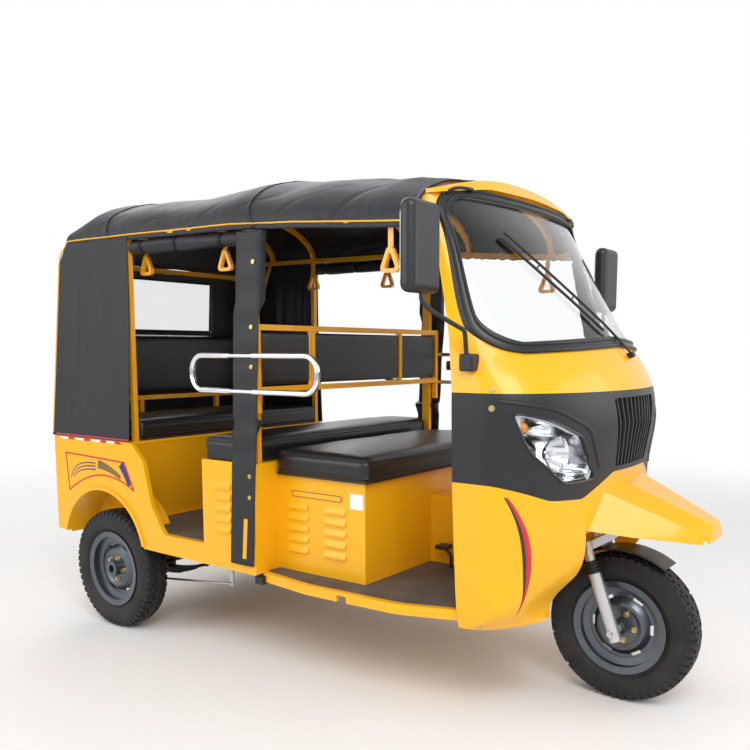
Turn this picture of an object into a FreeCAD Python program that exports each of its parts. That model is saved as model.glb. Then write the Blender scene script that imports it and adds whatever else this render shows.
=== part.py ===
import FreeCAD
import Part
import math
import os
from functools import lru_cache
from FreeCAD import Vector

# A passenger auto rickshaw: one steered front wheel, two driven rear wheels, a pressed-steel
# tub and cab, and a canvas canopy on a tube frame. Millimetres, +X forward, +Y to its left,
# +Z up, with the origin on the ground under the middle of its length.

# ---------------------------------------------------------------- driving sizes
FRONT_AXLE_X = 1140.0
WHEELBASE = 2184.0
TRACK = 1168.0
REAR_AXLE_X = FRONT_AXLE_X - WHEELBASE

TOUCH = 0.3                 # gap left where a soft or curved piece rests on another
MOVE_GAP = 8.0              # gap kept round what steers or rolls

# wheels
TYRE_R = 272.5
TYRE_HALF = 60.0
BEAD_R = 152.4
FLANGE_R = 172.0
RIM_HALF = 52.0
RIM_T = 5.0
HUB_R = 38.0
SLOT_COUNT = 6
AXLE_R = 10.0
STUB_R = 18.0
DRUM_R = 108.0

# fork and steering, measured along the steering axis from the front axle
RAKE = math.radians(20.0)
LEG_Y = 106.0
LEG_R = 23.0
LEG_TOP = 218.0
YOKE_LOW = 304.0
YOKE_T = 30.0
STEM_R = 22.0
HEAD_LOW = 432.0
HEAD_TOP = 720.0
BAR_CLAMP = 928.0
BAR_R = 11.0
GRIP_R = 16.5
GRIP_LENGTH = 125.0

# chassis
RAIL_Y = 330.0
RAIL_W = 40.0
RAIL_H = 60.0
FRONT_RAIL_TOP = 388.0
NECK_FOOT = (740.0, 343.0)
NECK_R = 30.0
BRACE_FOOT = (828.0, 560.0)
CROSS_T = 30.0
SPRING_W = 50.0
LEAF_T = 7.0
PIPE_R = 15.0
PIPE_Y = 225.0
LEAF_COUNT = 4
SPRING_HALF = 325.0
SPRING_SAG = 66.0

# rear body
SIDE_Y = 642.0
SIDE_T = 20.0
BODY_REAR_X = -1450.0
BODY_TOP = 872.0
SILL_Z = 394.0
REAR_FLOOR = 484.0
FLOOR_T = 15.0
ARCH_R = 292.0
ARCH_X = -1084.0
ARCH_Z = 345.0
ARCH_LIP = 10.0
HOUSE_WALL = 8.0
HOUSE_INNER_Y = 476.0
LAMP_DEPTH = 10.0

# seats
BENCH_FRONT_X = -866.0
BENCH_FOOT_X = -985.0
PANEL_T = 12.0
MID_REAR_X = -402.0
MID_FRONT_X = -102.0
MID_TOP = 835.0
CUSHION_T = 92.0
DRIVER_FRONT_X = 340.0
DRIVER_Y = 515.0
DRIVER_TOP = 785.0
FRONT_FLOOR = 400.0
SEAT_BOARD_T = 12.0
LID_PIN_R = 4.0
REAR_CUSHION_BACK = -1262.0
TUNNEL_FRONT_X = 560.0
TUNNEL_Y = 72.0
TUNNEL_TOP = 684.0
ENGINE_BAY_Y = 184.0
SEAT_OVERHANG = 36.0
DRIVER_CUSHION_Y = 550.0
BACKREST_LOW = 1111.0
BACKREST_TOP = 1371.0
BACKREST_HALF = 612.0
UPRIGHT_Y = 310.0
GUARD_LOW = 1115.0
GUARD_TOP = 1252.0
GUARD_R = 11.0
BAR_Z = 1024.0
# seat hinge pins, as x and z, and where the hinges stand across the seats
DRIVER_PIN = (MID_FRONT_X + 5.0, MID_TOP + 3.0)
REAR_PIN = (REAR_CUSHION_BACK - 6.0, BODY_TOP + 53.0)
LID_HINGE_Y = (-250.0, 250.0)

# cab
CAB_T = 15.0
CAB_SILL = 347.0
DIVISION_Z = 1137.0
ROOF_SHOULDER = 1720.0
ROOF_RISE = 160.0
ROOF_HALF = 592.0
GASKET_W = 36.0
SCREEN_LOW = 1258.0
SCREEN_DIP = 28.0
SCREEN_TOP = 1818.0
BULKHEAD_X = 846.0
DASH_Z = 1085.0
WELL_HALF = 300.0
WELL_TOP = 671.0
GRILLE_BARS = 10
GRILLE_LOW = 876.0
GRILLE_TOP = 1112.0

# canopy
CANOPY_Y = 622.0
CANVAS_T = 8.0
HEM = 25.0
TUBE = 22.0
POST_X = -130.0
POST_W = 40.0
DOOR_POST_X = -891.0
QUARTER_FRONT_X = -866.0
CANOPY_FRONT_X = 690.0
BACK_LEG_X = REAR_PIN[0] - 20.0 - TUBE
WINDOW_HALF = 300.0
WINDOW_LOW = 1375.0
WINDOW_TOP = 1636.0
ROLL_R = 34.0

# Cab plan sections: height, half width, where the side starts to turn in, nose.
CAB_SECTIONS = (
    (347, 572, 795, 1030),
    (514, 586, 845, 1115),
    (671, 588, 852, 1150),
    (860, 588, 858, 1150),
    (1020, 588, 860, 1172),
    (1137, 586, 860, 1158),
    (1262, 576, 745, 1098),
    (1500, 568, 650, 940),
    (1700, 560, 622, 807),
    (1800, 552, 605, 740),
    (1940, 540, 585, 650),
)

# Canopy sections: station, height of the side rail, height of the crown.
CANOPY_SECTIONS = (
    (-1370, 1682, 1702),
    (-1311, 1773, 1905),
    (-1192, 1773, 1998),
    (-765, 1768, 1976),
    (-243, 1758, 1994),
    (100, 1737, 1966),
    (446, 1709, 1935),
    (600, 1697, 1893),
    (690, 1690, 1888),
)
HOOP_STATIONS = (-1192, DOOR_POST_X, -243, 100, 527)


# ---------------------------------------------------------------- helpers
def box(x0, x1, y0, y1, z0, z1):
    return Part.makeBox(x1 - x0, y1 - y0, z1 - z0, Vector(x0, y0, z0))


def rod(start, end, radius):
    run = end - start
    return Part.makeCylinder(radius, run.Length, start, run)


def mirrored(shape):
    return shape.mirror(Vector(0, 0, 0), Vector(0, 1, 0))


def both(shape):
    return [shape, mirrored(shape)]


def joined(shapes):
    return shapes[0].fuse(shapes[1:]).removeSplitter()


def rounded_loop(rows, place):
    """Closed wire of (u, v, corner radius) rows, with an arc at each corner that has a radius."""
    corners = [(place(u, v), radius) for u, v, radius in rows]
    edges = []
    stops = []
    for index, (corner, radius) in enumerate(corners):
        before = (corners[index - 1][0] - corner).normalize()
        after = (corners[(index + 1) % len(corners)][0] - corner).normalize()
        if radius == 0:
            stops.append((corner, corner, None))
            continue
        half = before.getAngle(after) / 2
        run = radius / math.tan(half)
        inward = (before + after).normalize()
        middle = corner + inward * (radius / math.sin(half) - radius)
        stops.append((corner + before * run, corner + after * run, middle))
    for index, (arc_start, arc_end, middle) in enumerate(stops):
        if middle is not None:
            edges.append(Part.Arc(arc_start, middle, arc_end).toShape())
        next_start = stops[(index + 1) % len(stops)][0]
        if (next_start - arc_end).Length > 1e-6:
            edges.append(Part.makeLine(arc_end, next_start))
    return Part.Wire(Part.__sortEdges__(edges))


def plate(rows, plane, low, high):
    """Prism of a rounded outline on plane xy, xz or yz, between two values on the third axis."""
    places = {
        "xy": lambda u, v: Vector(u, v, low),
        "xz": lambda u, v: Vector(u, low, v),
        "yz": lambda u, v: Vector(low, u, v),
    }
    runs = {"xy": Vector(0, 0, high - low), "xz": Vector(0, high - low, 0), "yz": Vector(high - low, 0, 0)}
    return Part.Face(rounded_loop(rows, places[plane])).extrude(runs[plane])


def rounded_box(x0, x1, y0, y1, z0, z1, radius):
    shape = box(x0, x1, y0, y1, z0, z1)
    return shape.makeFillet(radius, shape.Edges)


def turned(rows, centre):
    """Solid of revolution about the Y axis through centre, from (radius, y, corner radius) rows."""
    loop = rounded_loop(rows, lambda u, v: Vector(u, v, 0))
    solid = Part.Face(loop).revolve(Vector(0, 0, 0), Vector(0, 1, 0), 360)
    solid.translate(centre)
    return solid


def pipe(points, radius, bend):
    """Round bar along a route of straight runs with an arc of radius bend at each inner point."""
    points = [Vector(*point) for point in points]
    edges = []
    start = points[0]
    for before, corner, after in zip(points, points[1:], points[2:]):
        back = (before - corner).normalize()
        ahead = (after - corner).normalize()
        half = back.getAngle(ahead) / 2
        run = bend / math.tan(half)
        middle = corner + (back + ahead).normalize() * (bend / math.sin(half) - bend)
        edges.append(Part.makeLine(start, corner + back * run))
        edges.append(Part.Arc(corner + back * run, middle, corner + ahead * run).toShape())
        start = corner + ahead * run
    edges.append(Part.makeLine(start, points[-1]))
    ring = Part.Wire([Part.makeCircle(radius, points[0], points[1] - points[0])])
    return Part.Wire(edges).makePipeShell([ring], True, False)


def along_fork(distance, y=0.0):
    """Point at a distance up the steering axis from the front axle."""
    return Vector(FRONT_AXLE_X - math.sin(RAKE) * distance, y, TYRE_R + math.cos(RAKE) * distance)


def raked(shape):
    """Turn a shape built upright at the front axle so that it leans back along the steering axis."""
    shape = shape.copy()
    shape.rotate(Vector(0, 0, 0), Vector(0, 1, 0), -math.degrees(RAKE))
    shape.translate(Vector(FRONT_AXLE_X, 0, TYRE_R))
    return shape


# ---------------------------------------------------------------- wheels
def tyre(centre):
    bead = RIM_HALF - RIM_T - 3
    right = [
        (BEAD_R + TOUCH, -bead, 0),
        (FLANGE_R + TOUCH, -bead, 0),
        (FLANGE_R + 20, -TYRE_HALF + 3, 0),
        (FLANGE_R + 46, -TYRE_HALF, 0),
        (TYRE_R - 28, -TYRE_HALF + 4, 0),
        (TYRE_R - 8, -TYRE_HALF + 13, 0),
        (TYRE_R, -TYRE_HALF / 2, 0),
    ]
    left = [(radius, -y, corner) for radius, y, corner in reversed(right)]
    return turned(right + left, centre)


def rim(centre, outside, bore):
    """Pressed steel wheel: a well-base rim and a dished disc. outside is +1 or -1 along Y."""
    bead = RIM_HALF - RIM_T - 3
    well = BEAD_R - 26
    barrel = (
        (FLANGE_R, -RIM_HALF, 0),
        (FLANGE_R, -bead, 0),
        (BEAD_R, -bead, 0),
        (BEAD_R, -bead / 2, 0),
        (well, -bead / 3, 0),
        (well, bead / 3, 0),
        (BEAD_R, bead / 2, 0),
        (BEAD_R, bead, 0),
        (FLANGE_R, bead, 0),
        (FLANGE_R, RIM_HALF, 0),
        (BEAD_R - RIM_T, RIM_HALF - RIM_T, 0),
        (BEAD_R - RIM_T, bead / 2, 0),
        (well - RIM_T, bead / 3, 0),
        (well - RIM_T, -bead / 3, 0),
        (BEAD_R - RIM_T, -bead / 2, 0),
        (BEAD_R - RIM_T, -RIM_HALF + RIM_T, 0),
    )
    disc = (
        (well - 1, 6 * outside, 0),
        (well - 1, 12 * outside, 0),
        (well - 18, 12 * outside, 0),
        (DRUM_R - 20, 31 * outside, 0),
        (DRUM_R - 30, 34 * outside, 0),
        (64, 28 * outside, 0),
        (bore, 28 * outside, 0),
        (bore, 22 * outside, 0),
        (64, 22 * outside, 0),
        (DRUM_R - 30, 28 * outside, 0),
        (DRUM_R - 20, 25 * outside, 0),
        (well - 22, 6 * outside, 0),
    )
    solid = turned(barrel, centre).fuse(turned(disc, centre))
    slot_r = well - 17
    slots = []
    for index in range(SLOT_COUNT):
        slot = box(-19, 19, -RIM_HALF, RIM_HALF, slot_r - 6, slot_r + 6)
        slot.rotate(Vector(0, 0, 0), Vector(0, 1, 0), 360.0 * (index + 0.5) / SLOT_COUNT)
        slot.translate(centre)
        slots.append(slot)
    return solid.cut(slots)


def front_hub():
    """Front hub with its brake drum on the left, bored for the axle."""
    centre = Vector(FRONT_AXLE_X, 0, TYRE_R)
    rows = (
        (AXLE_R + TOUCH, -56, 0),
        (HUB_R - 10, -56, 0),
        (HUB_R - 10, -28, 0),
        (70, -28, 0),
        (70, -22, 0),
        (DRUM_R - 20, -18, 0),
        (DRUM_R - 20, 34, 0),
        (HUB_R, 40, 0),
        (HUB_R, 56, 0),
        (AXLE_R + TOUCH, 56, 0),
    )
    return turned(rows, centre)


def rear_hub(side):
    """Brake drum and hub nose on the outer side of a rear wheel disc."""
    centre = Vector(REAR_AXLE_X, side * TRACK / 2, TYRE_R)
    face = 22 * side
    rows = (
        (STUB_R + TOUCH, -70 * side, 0),
        (DRUM_R, -70 * side, 0),
        (DRUM_R, face - 44 * side, 0),
        (DRUM_R - 28, face, 0),
        (HUB_R - 2, face, 0),
        (HUB_R - 2, face + 34 * side, 0),
        (STUB_R + TOUCH, face + 34 * side, 0),
    )
    return turned(rows, centre)


# ---------------------------------------------------------------- front fork
def front_fork():
    """Telescopic lower legs, stanchions, lower yoke, steering stem and the wheel axle."""
    pieces = []
    for side in (-1, 1):
        y = side * LEG_Y
        pieces.append(rod(along_fork(-34, y), along_fork(LEG_TOP, y), LEG_R))
        pieces.append(rod(along_fork(LEG_TOP, y), along_fork(YOKE_LOW + YOKE_T, y), LEG_R - 5))
        inner = side * (HUB_R + 20)
        y_low, y_high = sorted((inner, side * (LEG_Y - LEG_R / 2)))
        pieces.append(rod(Vector(FRONT_AXLE_X, y_low, TYRE_R), Vector(FRONT_AXLE_X, y_high, TYRE_R), 16))
    reach = LEG_Y + LEG_R
    pieces.append(rod(Vector(FRONT_AXLE_X, -reach - 14, TYRE_R), Vector(FRONT_AXLE_X, reach + 14, TYRE_R), AXLE_R))
    yoke = plate(((-32, -reach - 8, 26), (32, -reach - 8, 26), (40, 0, 0), (32, reach + 8, 26),
                  (-32, reach + 8, 26), (-40, 0, 0)), "xy", YOKE_LOW, YOKE_LOW + YOKE_T)
    pieces.append(raked(yoke))
    pieces.append(rod(along_fork(YOKE_LOW), along_fork(BAR_CLAMP + 16), STEM_R))
    return joined(pieces)


def fork_boots():
    """Ribbed rubber boots over the stanchions, above the lower legs."""
    boots = []
    for side in (-1, 1):
        rings = []
        for index in range(4):
            low = LEG_TOP + TOUCH + 11 * index
            rings.append(rod(along_fork(low, side * LEG_Y), along_fork(low + 7, side * LEG_Y), LEG_R + 5))
        sleeve_top = LEG_TOP + 46
        rings.append(rod(along_fork(LEG_TOP + TOUCH, side * LEG_Y), along_fork(sleeve_top, side * LEG_Y), LEG_R))
        boot = joined(rings)
        bore = rod(along_fork(LEG_TOP - 5, side * LEG_Y), along_fork(sleeve_top + 5, side * LEG_Y), LEG_R - 5 + TOUCH)
        boots.append(boot.cut(bore))
    return Part.Compound(boots)


def wheel_guard():
    """Narrow mudguard under the yoke that turns with the wheel."""
    inner = TYRE_R + 15
    rows = ((inner, -62, 0), (inner + 6, -62, 2), (inner + 6, 62, 2), (inner, 62, 0))
    loop = rounded_loop(rows, lambda u, v: Vector(u, v, 0))
    sweep = Part.Face(loop).revolve(Vector(0, 0, 0), Vector(0, -1, 0), 74)
    sweep.rotate(Vector(0, 0, 0), Vector(0, -1, 0), 56)
    sweep.translate(Vector(FRONT_AXLE_X, 0, TYRE_R))
    pad = raked(box(-26, 26, -40, 40, inner + 2, YOKE_LOW - TOUCH))
    return sweep.fuse(pad).removeSplitter()


def bar_route(side):
    clamp = along_fork(BAR_CLAMP)
    return (
        (clamp.x, 0, clamp.z),
        (clamp.x - 4, side * 75, clamp.z + 6),
        (clamp.x - 60, side * 185, clamp.z + 70),
        (clamp.x - 232, side * 350, clamp.z + 74),
    )


def handlebar():
    pieces = [pipe(bar_route(side), BAR_R, 55) for side in (-1, 1)]
    clamp = along_fork(BAR_CLAMP)
    pieces.append(raked(box(-24, 24, -36, 36, BAR_CLAMP + 16 + TOUCH, BAR_CLAMP + 30)))
    pieces.append(rod(Vector(clamp.x, -30, clamp.z), Vector(clamp.x, 30, clamp.z), BAR_R + 9))
    bar = joined(pieces + hand_levers())
    return bar.cut(rod(along_fork(YOKE_LOW), along_fork(BAR_CLAMP + 16 + TOUCH), STEM_R + TOUCH))


def grip_run(side):
    route = bar_route(side)
    start = Vector(*route[2])
    end = Vector(*route[3])
    return start, end, (end - start).normalize()


def grips():
    shapes = []
    for side in (-1, 1):
        start, end, run = grip_run(side)
        inner = end - run * GRIP_LENGTH
        grip = rod(inner, end + run * 4, GRIP_R)
        collar = rod(inner - run * 6, inner, GRIP_R + 6)
        core = rod(inner - run * 8, end, BAR_R + TOUCH)
        shapes.append(joined([grip, collar]).cut(core))
    return Part.Compound(shapes)


def hand_levers():
    """Brake and clutch levers on clamps just inboard of the grips."""
    levers = []
    for side in (-1, 1):
        start, end, run = grip_run(side)
        ahead = Vector(-run.y, run.x, 0).normalize() * -side
        root = end - run * (GRIP_LENGTH + 26)
        clamp = rod(root - run * 11, root + run * 11, BAR_R + 9)
        arm = pipe((root + ahead * 12, root + ahead * 44 + run * 10, end + ahead * 46), 5, 12)
        levers.append(joined([clamp, arm]))
    return levers


# ---------------------------------------------------------------- chassis
def rail_rows():
    rear_top = REAR_FLOOR - FLOOR_T
    kick_front = MID_FRONT_X - 10
    kick_rear = MID_FRONT_X - 150
    return (
        (BODY_REAR_X + 60, rear_top - RAIL_H, 4),
        (BODY_REAR_X + 60, rear_top, 4),
        (kick_rear, rear_top, 30),
        (kick_front, FRONT_RAIL_TOP, 30),
        (760, FRONT_RAIL_TOP, 4),
        (760, FRONT_RAIL_TOP - RAIL_H, 4),
        (kick_front, FRONT_RAIL_TOP - RAIL_H, 30),
        (kick_rear, rear_top - RAIL_H, 30),
    )


def neck(radius):
    """Gooseneck tube from the head tube down to the front cross member."""
    return rod(along_fork(HEAD_LOW + 160), Vector(NECK_FOOT[0], 0, NECK_FOOT[1]), radius)


def chassis_frame():
    """Ladder frame with outriggers, spring hangers and the gooseneck that carries the head tube."""
    rear_top = REAR_FLOOR - FLOOR_T
    inner = RAIL_Y - RAIL_W / 2
    pieces = both(plate(rail_rows(), "xz", inner, inner + RAIL_W))
    front_low = FRONT_RAIL_TOP - RAIL_H
    for x in (-40, 200, 470, 720):
        pieces.append(box(x, x + RAIL_W, -inner, inner, front_low, front_low + CROSS_T))
    for x in (-1380, -1250, -700, -420):
        pieces.append(box(x, x + RAIL_W, -inner, inner, rear_top - CROSS_T, rear_top))
    # outriggers: station, top height, how far out they reach
    for x, top, reach in ((-130, SILL_Z - 9, SIDE_Y - SIDE_T - TOUCH), (300, FRONT_FLOOR - 12, 580),
                          (-450, rear_top, SIDE_Y - SIDE_T - TOUCH)):
        pieces += both(box(x, x + RAIL_W, inner, reach, top - CROSS_T, top))
    # spring hangers, below the rails
    for x in (REAR_AXLE_X - SPRING_HALF, REAR_AXLE_X + SPRING_HALF):
        for wall in (-SPRING_W / 2 - 6, SPRING_W / 2 + TOUCH):
            hanger = plate(((x - 24, rear_top - RAIL_H + 2, 0), (x + 24, rear_top - RAIL_H + 2, 0),
                            (x + 16, spring_eye_z() - 16, 12), (x - 16, spring_eye_z() - 16, 12)),
                           "xz", RAIL_Y + wall, RAIL_Y + wall + 6 - TOUCH)
            pieces += both(hanger)
        pieces += both(box(x - 24, x + 24, RAIL_Y - SPRING_W / 2 - 6, RAIL_Y + SPRING_W / 2 + 6,
                           rear_top - RAIL_H - 8, rear_top - RAIL_H + 2))
    head = rod(along_fork(HEAD_LOW), along_fork(HEAD_TOP), STEM_R + 12)
    pieces.append(neck(NECK_R))
    pieces.append(rod(along_fork(HEAD_LOW + 60), Vector(BRACE_FOOT[0], 0, BRACE_FOOT[1]), 22))
    pieces.append(head)
    frame = joined(pieces)
    bore = rod(along_fork(HEAD_LOW - 40), along_fork(HEAD_TOP + 40), STEM_R + TOUCH)
    return frame.cut(bore)


def spring_eye_z():
    return TYRE_R - 38 - 6 - LEAF_T / 2 + SPRING_SAG


def leaf_springs():
    """Semi-elliptic springs under the axle, one stack of leaves each side."""
    radius = (SPRING_HALF ** 2 + SPRING_SAG ** 2) / (2 * SPRING_SAG)
    middle = Vector(REAR_AXLE_X, RAIL_Y - SPRING_W / 2, spring_eye_z() - SPRING_SAG + radius)
    leaves = []
    for index in range(LEAF_COUNT):
        half = SPRING_HALF * (1 - 0.2 * index)
        outer = radius + LEAF_T * (index + 0.5)
        swing = math.asin(half / radius)
        rim_disc = Part.makeCylinder(outer, SPRING_W, middle, Vector(0, 1, 0))
        hollow = Part.makeCylinder(outer - LEAF_T, SPRING_W, middle, Vector(0, 1, 0))
        reach = 2 * outer
        across, down = math.sin(swing) * reach, math.cos(swing) * reach
        wedge = plate(((middle.x, middle.z, 0), (middle.x + across, middle.z - down, 0),
                       (middle.x - across, middle.z - down, 0)), "xz", middle.y, middle.y + SPRING_W)
        leaves.append(rim_disc.cut(hollow).common(wedge))
    for side in (-1, 1):
        eye = Vector(REAR_AXLE_X + side * SPRING_HALF, RAIL_Y - SPRING_W / 2, spring_eye_z())
        leaves.append(rod(eye, eye + Vector(0, SPRING_W, 0), 15))
    spring = joined(leaves)
    return Part.Compound(both(spring))


def rear_axle():
    """Axle housing with the differential, brake backplates, stub shafts and spring seats."""
    centre = Vector(REAR_AXLE_X, 0, TYRE_R)
    plate_y = TRACK / 2 - 70 - MOVE_GAP
    housing = rod(centre - Vector(0, plate_y, 0), centre + Vector(0, plate_y, 0), 38)
    rows = ((0, -95, 0), (60, -95, 20), (118, -30, 30), (118, 30, 30), (60, 95, 20), (0, 95, 0))
    pieces = [housing, turned(rows, centre)]
    for side in (-1, 1):
        y = side * plate_y
        inner = centre + Vector(0, y - 6 * side, 0)
        pieces.append(rod(inner, centre + Vector(0, y, 0), DRUM_R + 4))
        pieces.append(rod(inner, centre + Vector(0, side * (TRACK / 2 + 40), 0), STUB_R))
    seat_low = TYRE_R - 38 - 6 + 2
    pieces += both(box(REAR_AXLE_X - 45, REAR_AXLE_X + 45, RAIL_Y - SPRING_W / 2, RAIL_Y + SPRING_W / 2,
                       seat_low, TYRE_R - 20))
    return joined(pieces)


def engine_block():
    low = FRONT_RAIL_TOP - RAIL_H + CROSS_T
    crankcase = rounded_box(-62, 252, -170, 170, low, 560, 18)
    cylinder = rounded_box(60, 190, -80, 80, 540, 668, 12)
    return joined([crankcase, cylinder])


def prop_shaft():
    start = Vector(-62 - 5.5, 0, 415)
    end = Vector(REAR_AXLE_X + 122, 0, TYRE_R + 12)
    run = (end - start).normalize()
    pieces = [rod(start, end, 19)]
    for spot in (start, end - run * 52):
        pieces.append(rod(spot, spot + run * 52, 34))
    return joined(pieces)


def exhaust():
    """Down pipe, silencer and tail pipe on the left."""
    y, z, low = PIPE_Y, 330.0, 308.0
    down = pipe(((100, 170 + TOUCH, 500), (100, 215, 500), (90, y, low), (-420, y, low)), PIPE_R, 22)
    silencer = rod(Vector(-400, y, z), Vector(-690, y, z), 52)
    tail = rod(Vector(-690, y, z), Vector(-790, y, z), PIPE_R)
    return joined([down, silencer, tail])


def brake_rod():
    """Pull rod from the cross shaft's lever back to the right-hand brake."""
    shaft_x, shaft_z, y = -446.0, 345.0, -450.0
    pieces = [
        rod(Vector(shaft_x, y - 12, shaft_z), Vector(shaft_x, -RAIL_Y - RAIL_W / 2 - TOUCH, shaft_z), 11),
        box(shaft_x - 10, shaft_x + 10, y - 6, y + 4, 250, shaft_z),
        rod(Vector(shaft_x, y - 10, 262), Vector(-900, y - 10, 212), 5),
        rod(Vector(-900, y - 10, 212), Vector(REAR_AXLE_X + 60, -TRACK / 2 + 91, 212), 5),
        box(shaft_x - 14, shaft_x + 14, -RAIL_Y - RAIL_W / 2 - 8, -RAIL_Y - RAIL_W / 2, shaft_z - 14,
            REAR_FLOOR - FLOOR_T - CROSS_T - TOUCH),
    ]
    return joined(pieces)


# ---------------------------------------------------------------- rear body
def arch_disc(radius, y0, y1):
    return Part.makeCylinder(radius, y1 - y0, Vector(ARCH_X, y0, ARCH_Z), Vector(0, 1, 0))


def louvres(columns, rows_top, pitch, count, y, out, height=26.0):
    """Pressed louvres: half-round hoods open at the bottom. columns are (x low, x high)."""
    hoods = []
    for x0, x1 in columns:
        for index in range(count):
            z = rows_top - pitch * index
            foot = z - height
            hood = plate(((y - out * 2, z, 0), (y, z, 0), (y + out * 9, z - height * 0.7, 3), (y + out * 9, foot, 0),
                          (y - out * 2, foot, 0)), "yz", x0, x1)
            slot = plate(((y - out * 3, z - height * 0.55, 0), (y + out * 6.5, z - height * 0.75, 0),
                          (y + out * 6.5, foot - 1, 0), (y - out * 3, foot - 1, 0)), "yz", x0 + 3, x1 - 3)
            hoods.append((hood, slot))
    return hoods


def with_louvres(panel, hoods):
    panel = panel.fuse([hood for hood, slot in hoods])
    return panel.cut([slot for hood, slot in hoods])


def body_side():
    """Left body side: quarter, sill and the middle seat's end panel in one pressing."""
    rows = (
        (BODY_REAR_X, SILL_Z + 21, 12),
        (BODY_REAR_X, BODY_TOP, 8),
        (-868, BODY_TOP, 55),
        (-785, 795, 40),
        (-735, 600, 90),
        (-655, REAR_FLOOR, 45),
        (MID_REAR_X, REAR_FLOOR, 4),
        (MID_REAR_X, MID_TOP, 8),
        (MID_FRONT_X, MID_TOP, 8),
        (MID_FRONT_X, SILL_Z, 8),
        (-780, SILL_Z + 9, 0),
        (-1380, SILL_Z + 21, 0),
    )
    panel = plate(rows, "xz", SIDE_Y - SIDE_T, SIDE_Y)
    panel = panel.cut(arch_disc(ARCH_R, SIDE_Y - SIDE_T - 1, SIDE_Y + 1))
    edge = SIDE_Y + ARCH_LIP
    lip = arch_disc(ARCH_R + 14, SIDE_Y - 2, edge).cut(arch_disc(ARCH_R, SIDE_Y - 3, edge + 1))
    lip = lip.common(box(BODY_REAR_X + 20, -700, SIDE_Y - 3, edge + 1, SILL_Z + 20, BODY_TOP))
    panel = panel.fuse(lip)
    hoods = louvres(((-318, -237), (-203, -128)), 749, 44, 5, SIDE_Y, 1)
    return joined([with_louvres(panel, hoods), wheel_house()])


def wheel_house():
    """Left inner wheel arch."""
    outer = arch_disc(ARCH_R + HOUSE_WALL, HOUSE_INNER_Y, SIDE_Y - SIDE_T)
    hollow = arch_disc(ARCH_R, HOUSE_INNER_Y + HOUSE_WALL, SIDE_Y)
    below = box(-1500, -700, 400, SIDE_Y, 0, SILL_Z + 9)
    return outer.cut([hollow, below])


def rear_floor():
    inner = SIDE_Y - SIDE_T
    floor = box(BODY_REAR_X + SIDE_T, MID_FRONT_X - PANEL_T, -inner, inner, REAR_FLOOR - FLOOR_T, REAR_FLOOR)
    cuts = both(arch_disc(ARCH_R + HOUSE_WALL, HOUSE_INNER_Y, SIDE_Y))
    return floor.cut(cuts)


def rear_panel():
    inner = SIDE_Y - SIDE_T
    panel = box(BODY_REAR_X, BODY_REAR_X + SIDE_T, -inner, inner, SILL_Z + 21, BODY_TOP)
    half = inner - 230
    press = plate(((-half, 520, 30), (half, 520, 30), (half, 800, 30), (-half, 800, 30)),
                  "yz", BODY_REAR_X - 1, BODY_REAR_X + 4)
    return panel.cut([press] + both(lamp_prism(TOUCH, LAMP_DEPTH + TOUCH)))


def lamp_prism(grow, depth):
    low_y, high_y, low_z, high_z = 470 - grow, 600 + grow, 690 - grow, 750 + grow
    rows = ((low_y, low_z, 14), (high_y, low_z, 14), (high_y, high_z, 14), (low_y, high_z, 14))
    return plate(rows, "yz", BODY_REAR_X - 2, BODY_REAR_X + depth)


def tail_lamps():
    return Part.Compound(both(lamp_prism(0, LAMP_DEPTH)))


def rear_bench():
    """Sloping front panel and the seat board of the rear bench."""
    inner = SIDE_Y - SIDE_T
    front = plate(((BENCH_FRONT_X, BODY_TOP, 0), (BENCH_FRONT_X - PANEL_T, BODY_TOP, 0),
                   (BENCH_FOOT_X - PANEL_T, REAR_FLOOR, 0), (BENCH_FOOT_X, REAR_FLOOR, 0)), "xz", -inner, inner)
    board = box(BODY_REAR_X + SIDE_T, BENCH_FRONT_X, -inner, inner, BODY_TOP - PANEL_T, BODY_TOP)
    bench = joined([front, board])
    return bench.cut(both(arch_disc(ARCH_R + HOUSE_WALL, HOUSE_INNER_Y, SIDE_Y)))


def floor_mats():
    inner = SIDE_Y - SIDE_T - 8
    rear = box(BENCH_FOOT_X + 14, MID_REAR_X - 8, -inner, inner, REAR_FLOOR, REAR_FLOOR + 4)
    rear = rear.cut(both(arch_disc(ARCH_R + HOUSE_WALL + 4, HOUSE_INNER_Y - 4, SIDE_Y)))
    front = plate(floor_rows(26), "xy", FRONT_FLOOR, FRONT_FLOOR + 4)
    seat = box(MID_FRONT_X - 20, DRIVER_FRONT_X, -DRIVER_Y, DRIVER_Y, FRONT_FLOOR - 1, FRONT_FLOOR + 5)
    tunnel = box(DRIVER_FRONT_X - 1, TUNNEL_FRONT_X, -TUNNEL_Y, TUNNEL_Y, FRONT_FLOOR - 1, FRONT_FLOOR + 5)
    return Part.Compound([rear, front.cut([seat, tunnel, cab_outer(), neck(NECK_R + 6)])])


def floor_rows(inset):
    """Plan outline of the front floor, as rows for plate, with its bowed step edges."""
    right = []
    for x, half, corner in ((MID_FRONT_X + inset * 0.2, 603, 0), (150, 640, 500), (560, 628, 300), (760, 560, 40),
                            (BULKHEAD_X - inset, 556, 0)):
        right.append((x, -half + inset, corner))
    return right + [(x, -y, corner) for x, y, corner in reversed(right)]


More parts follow.
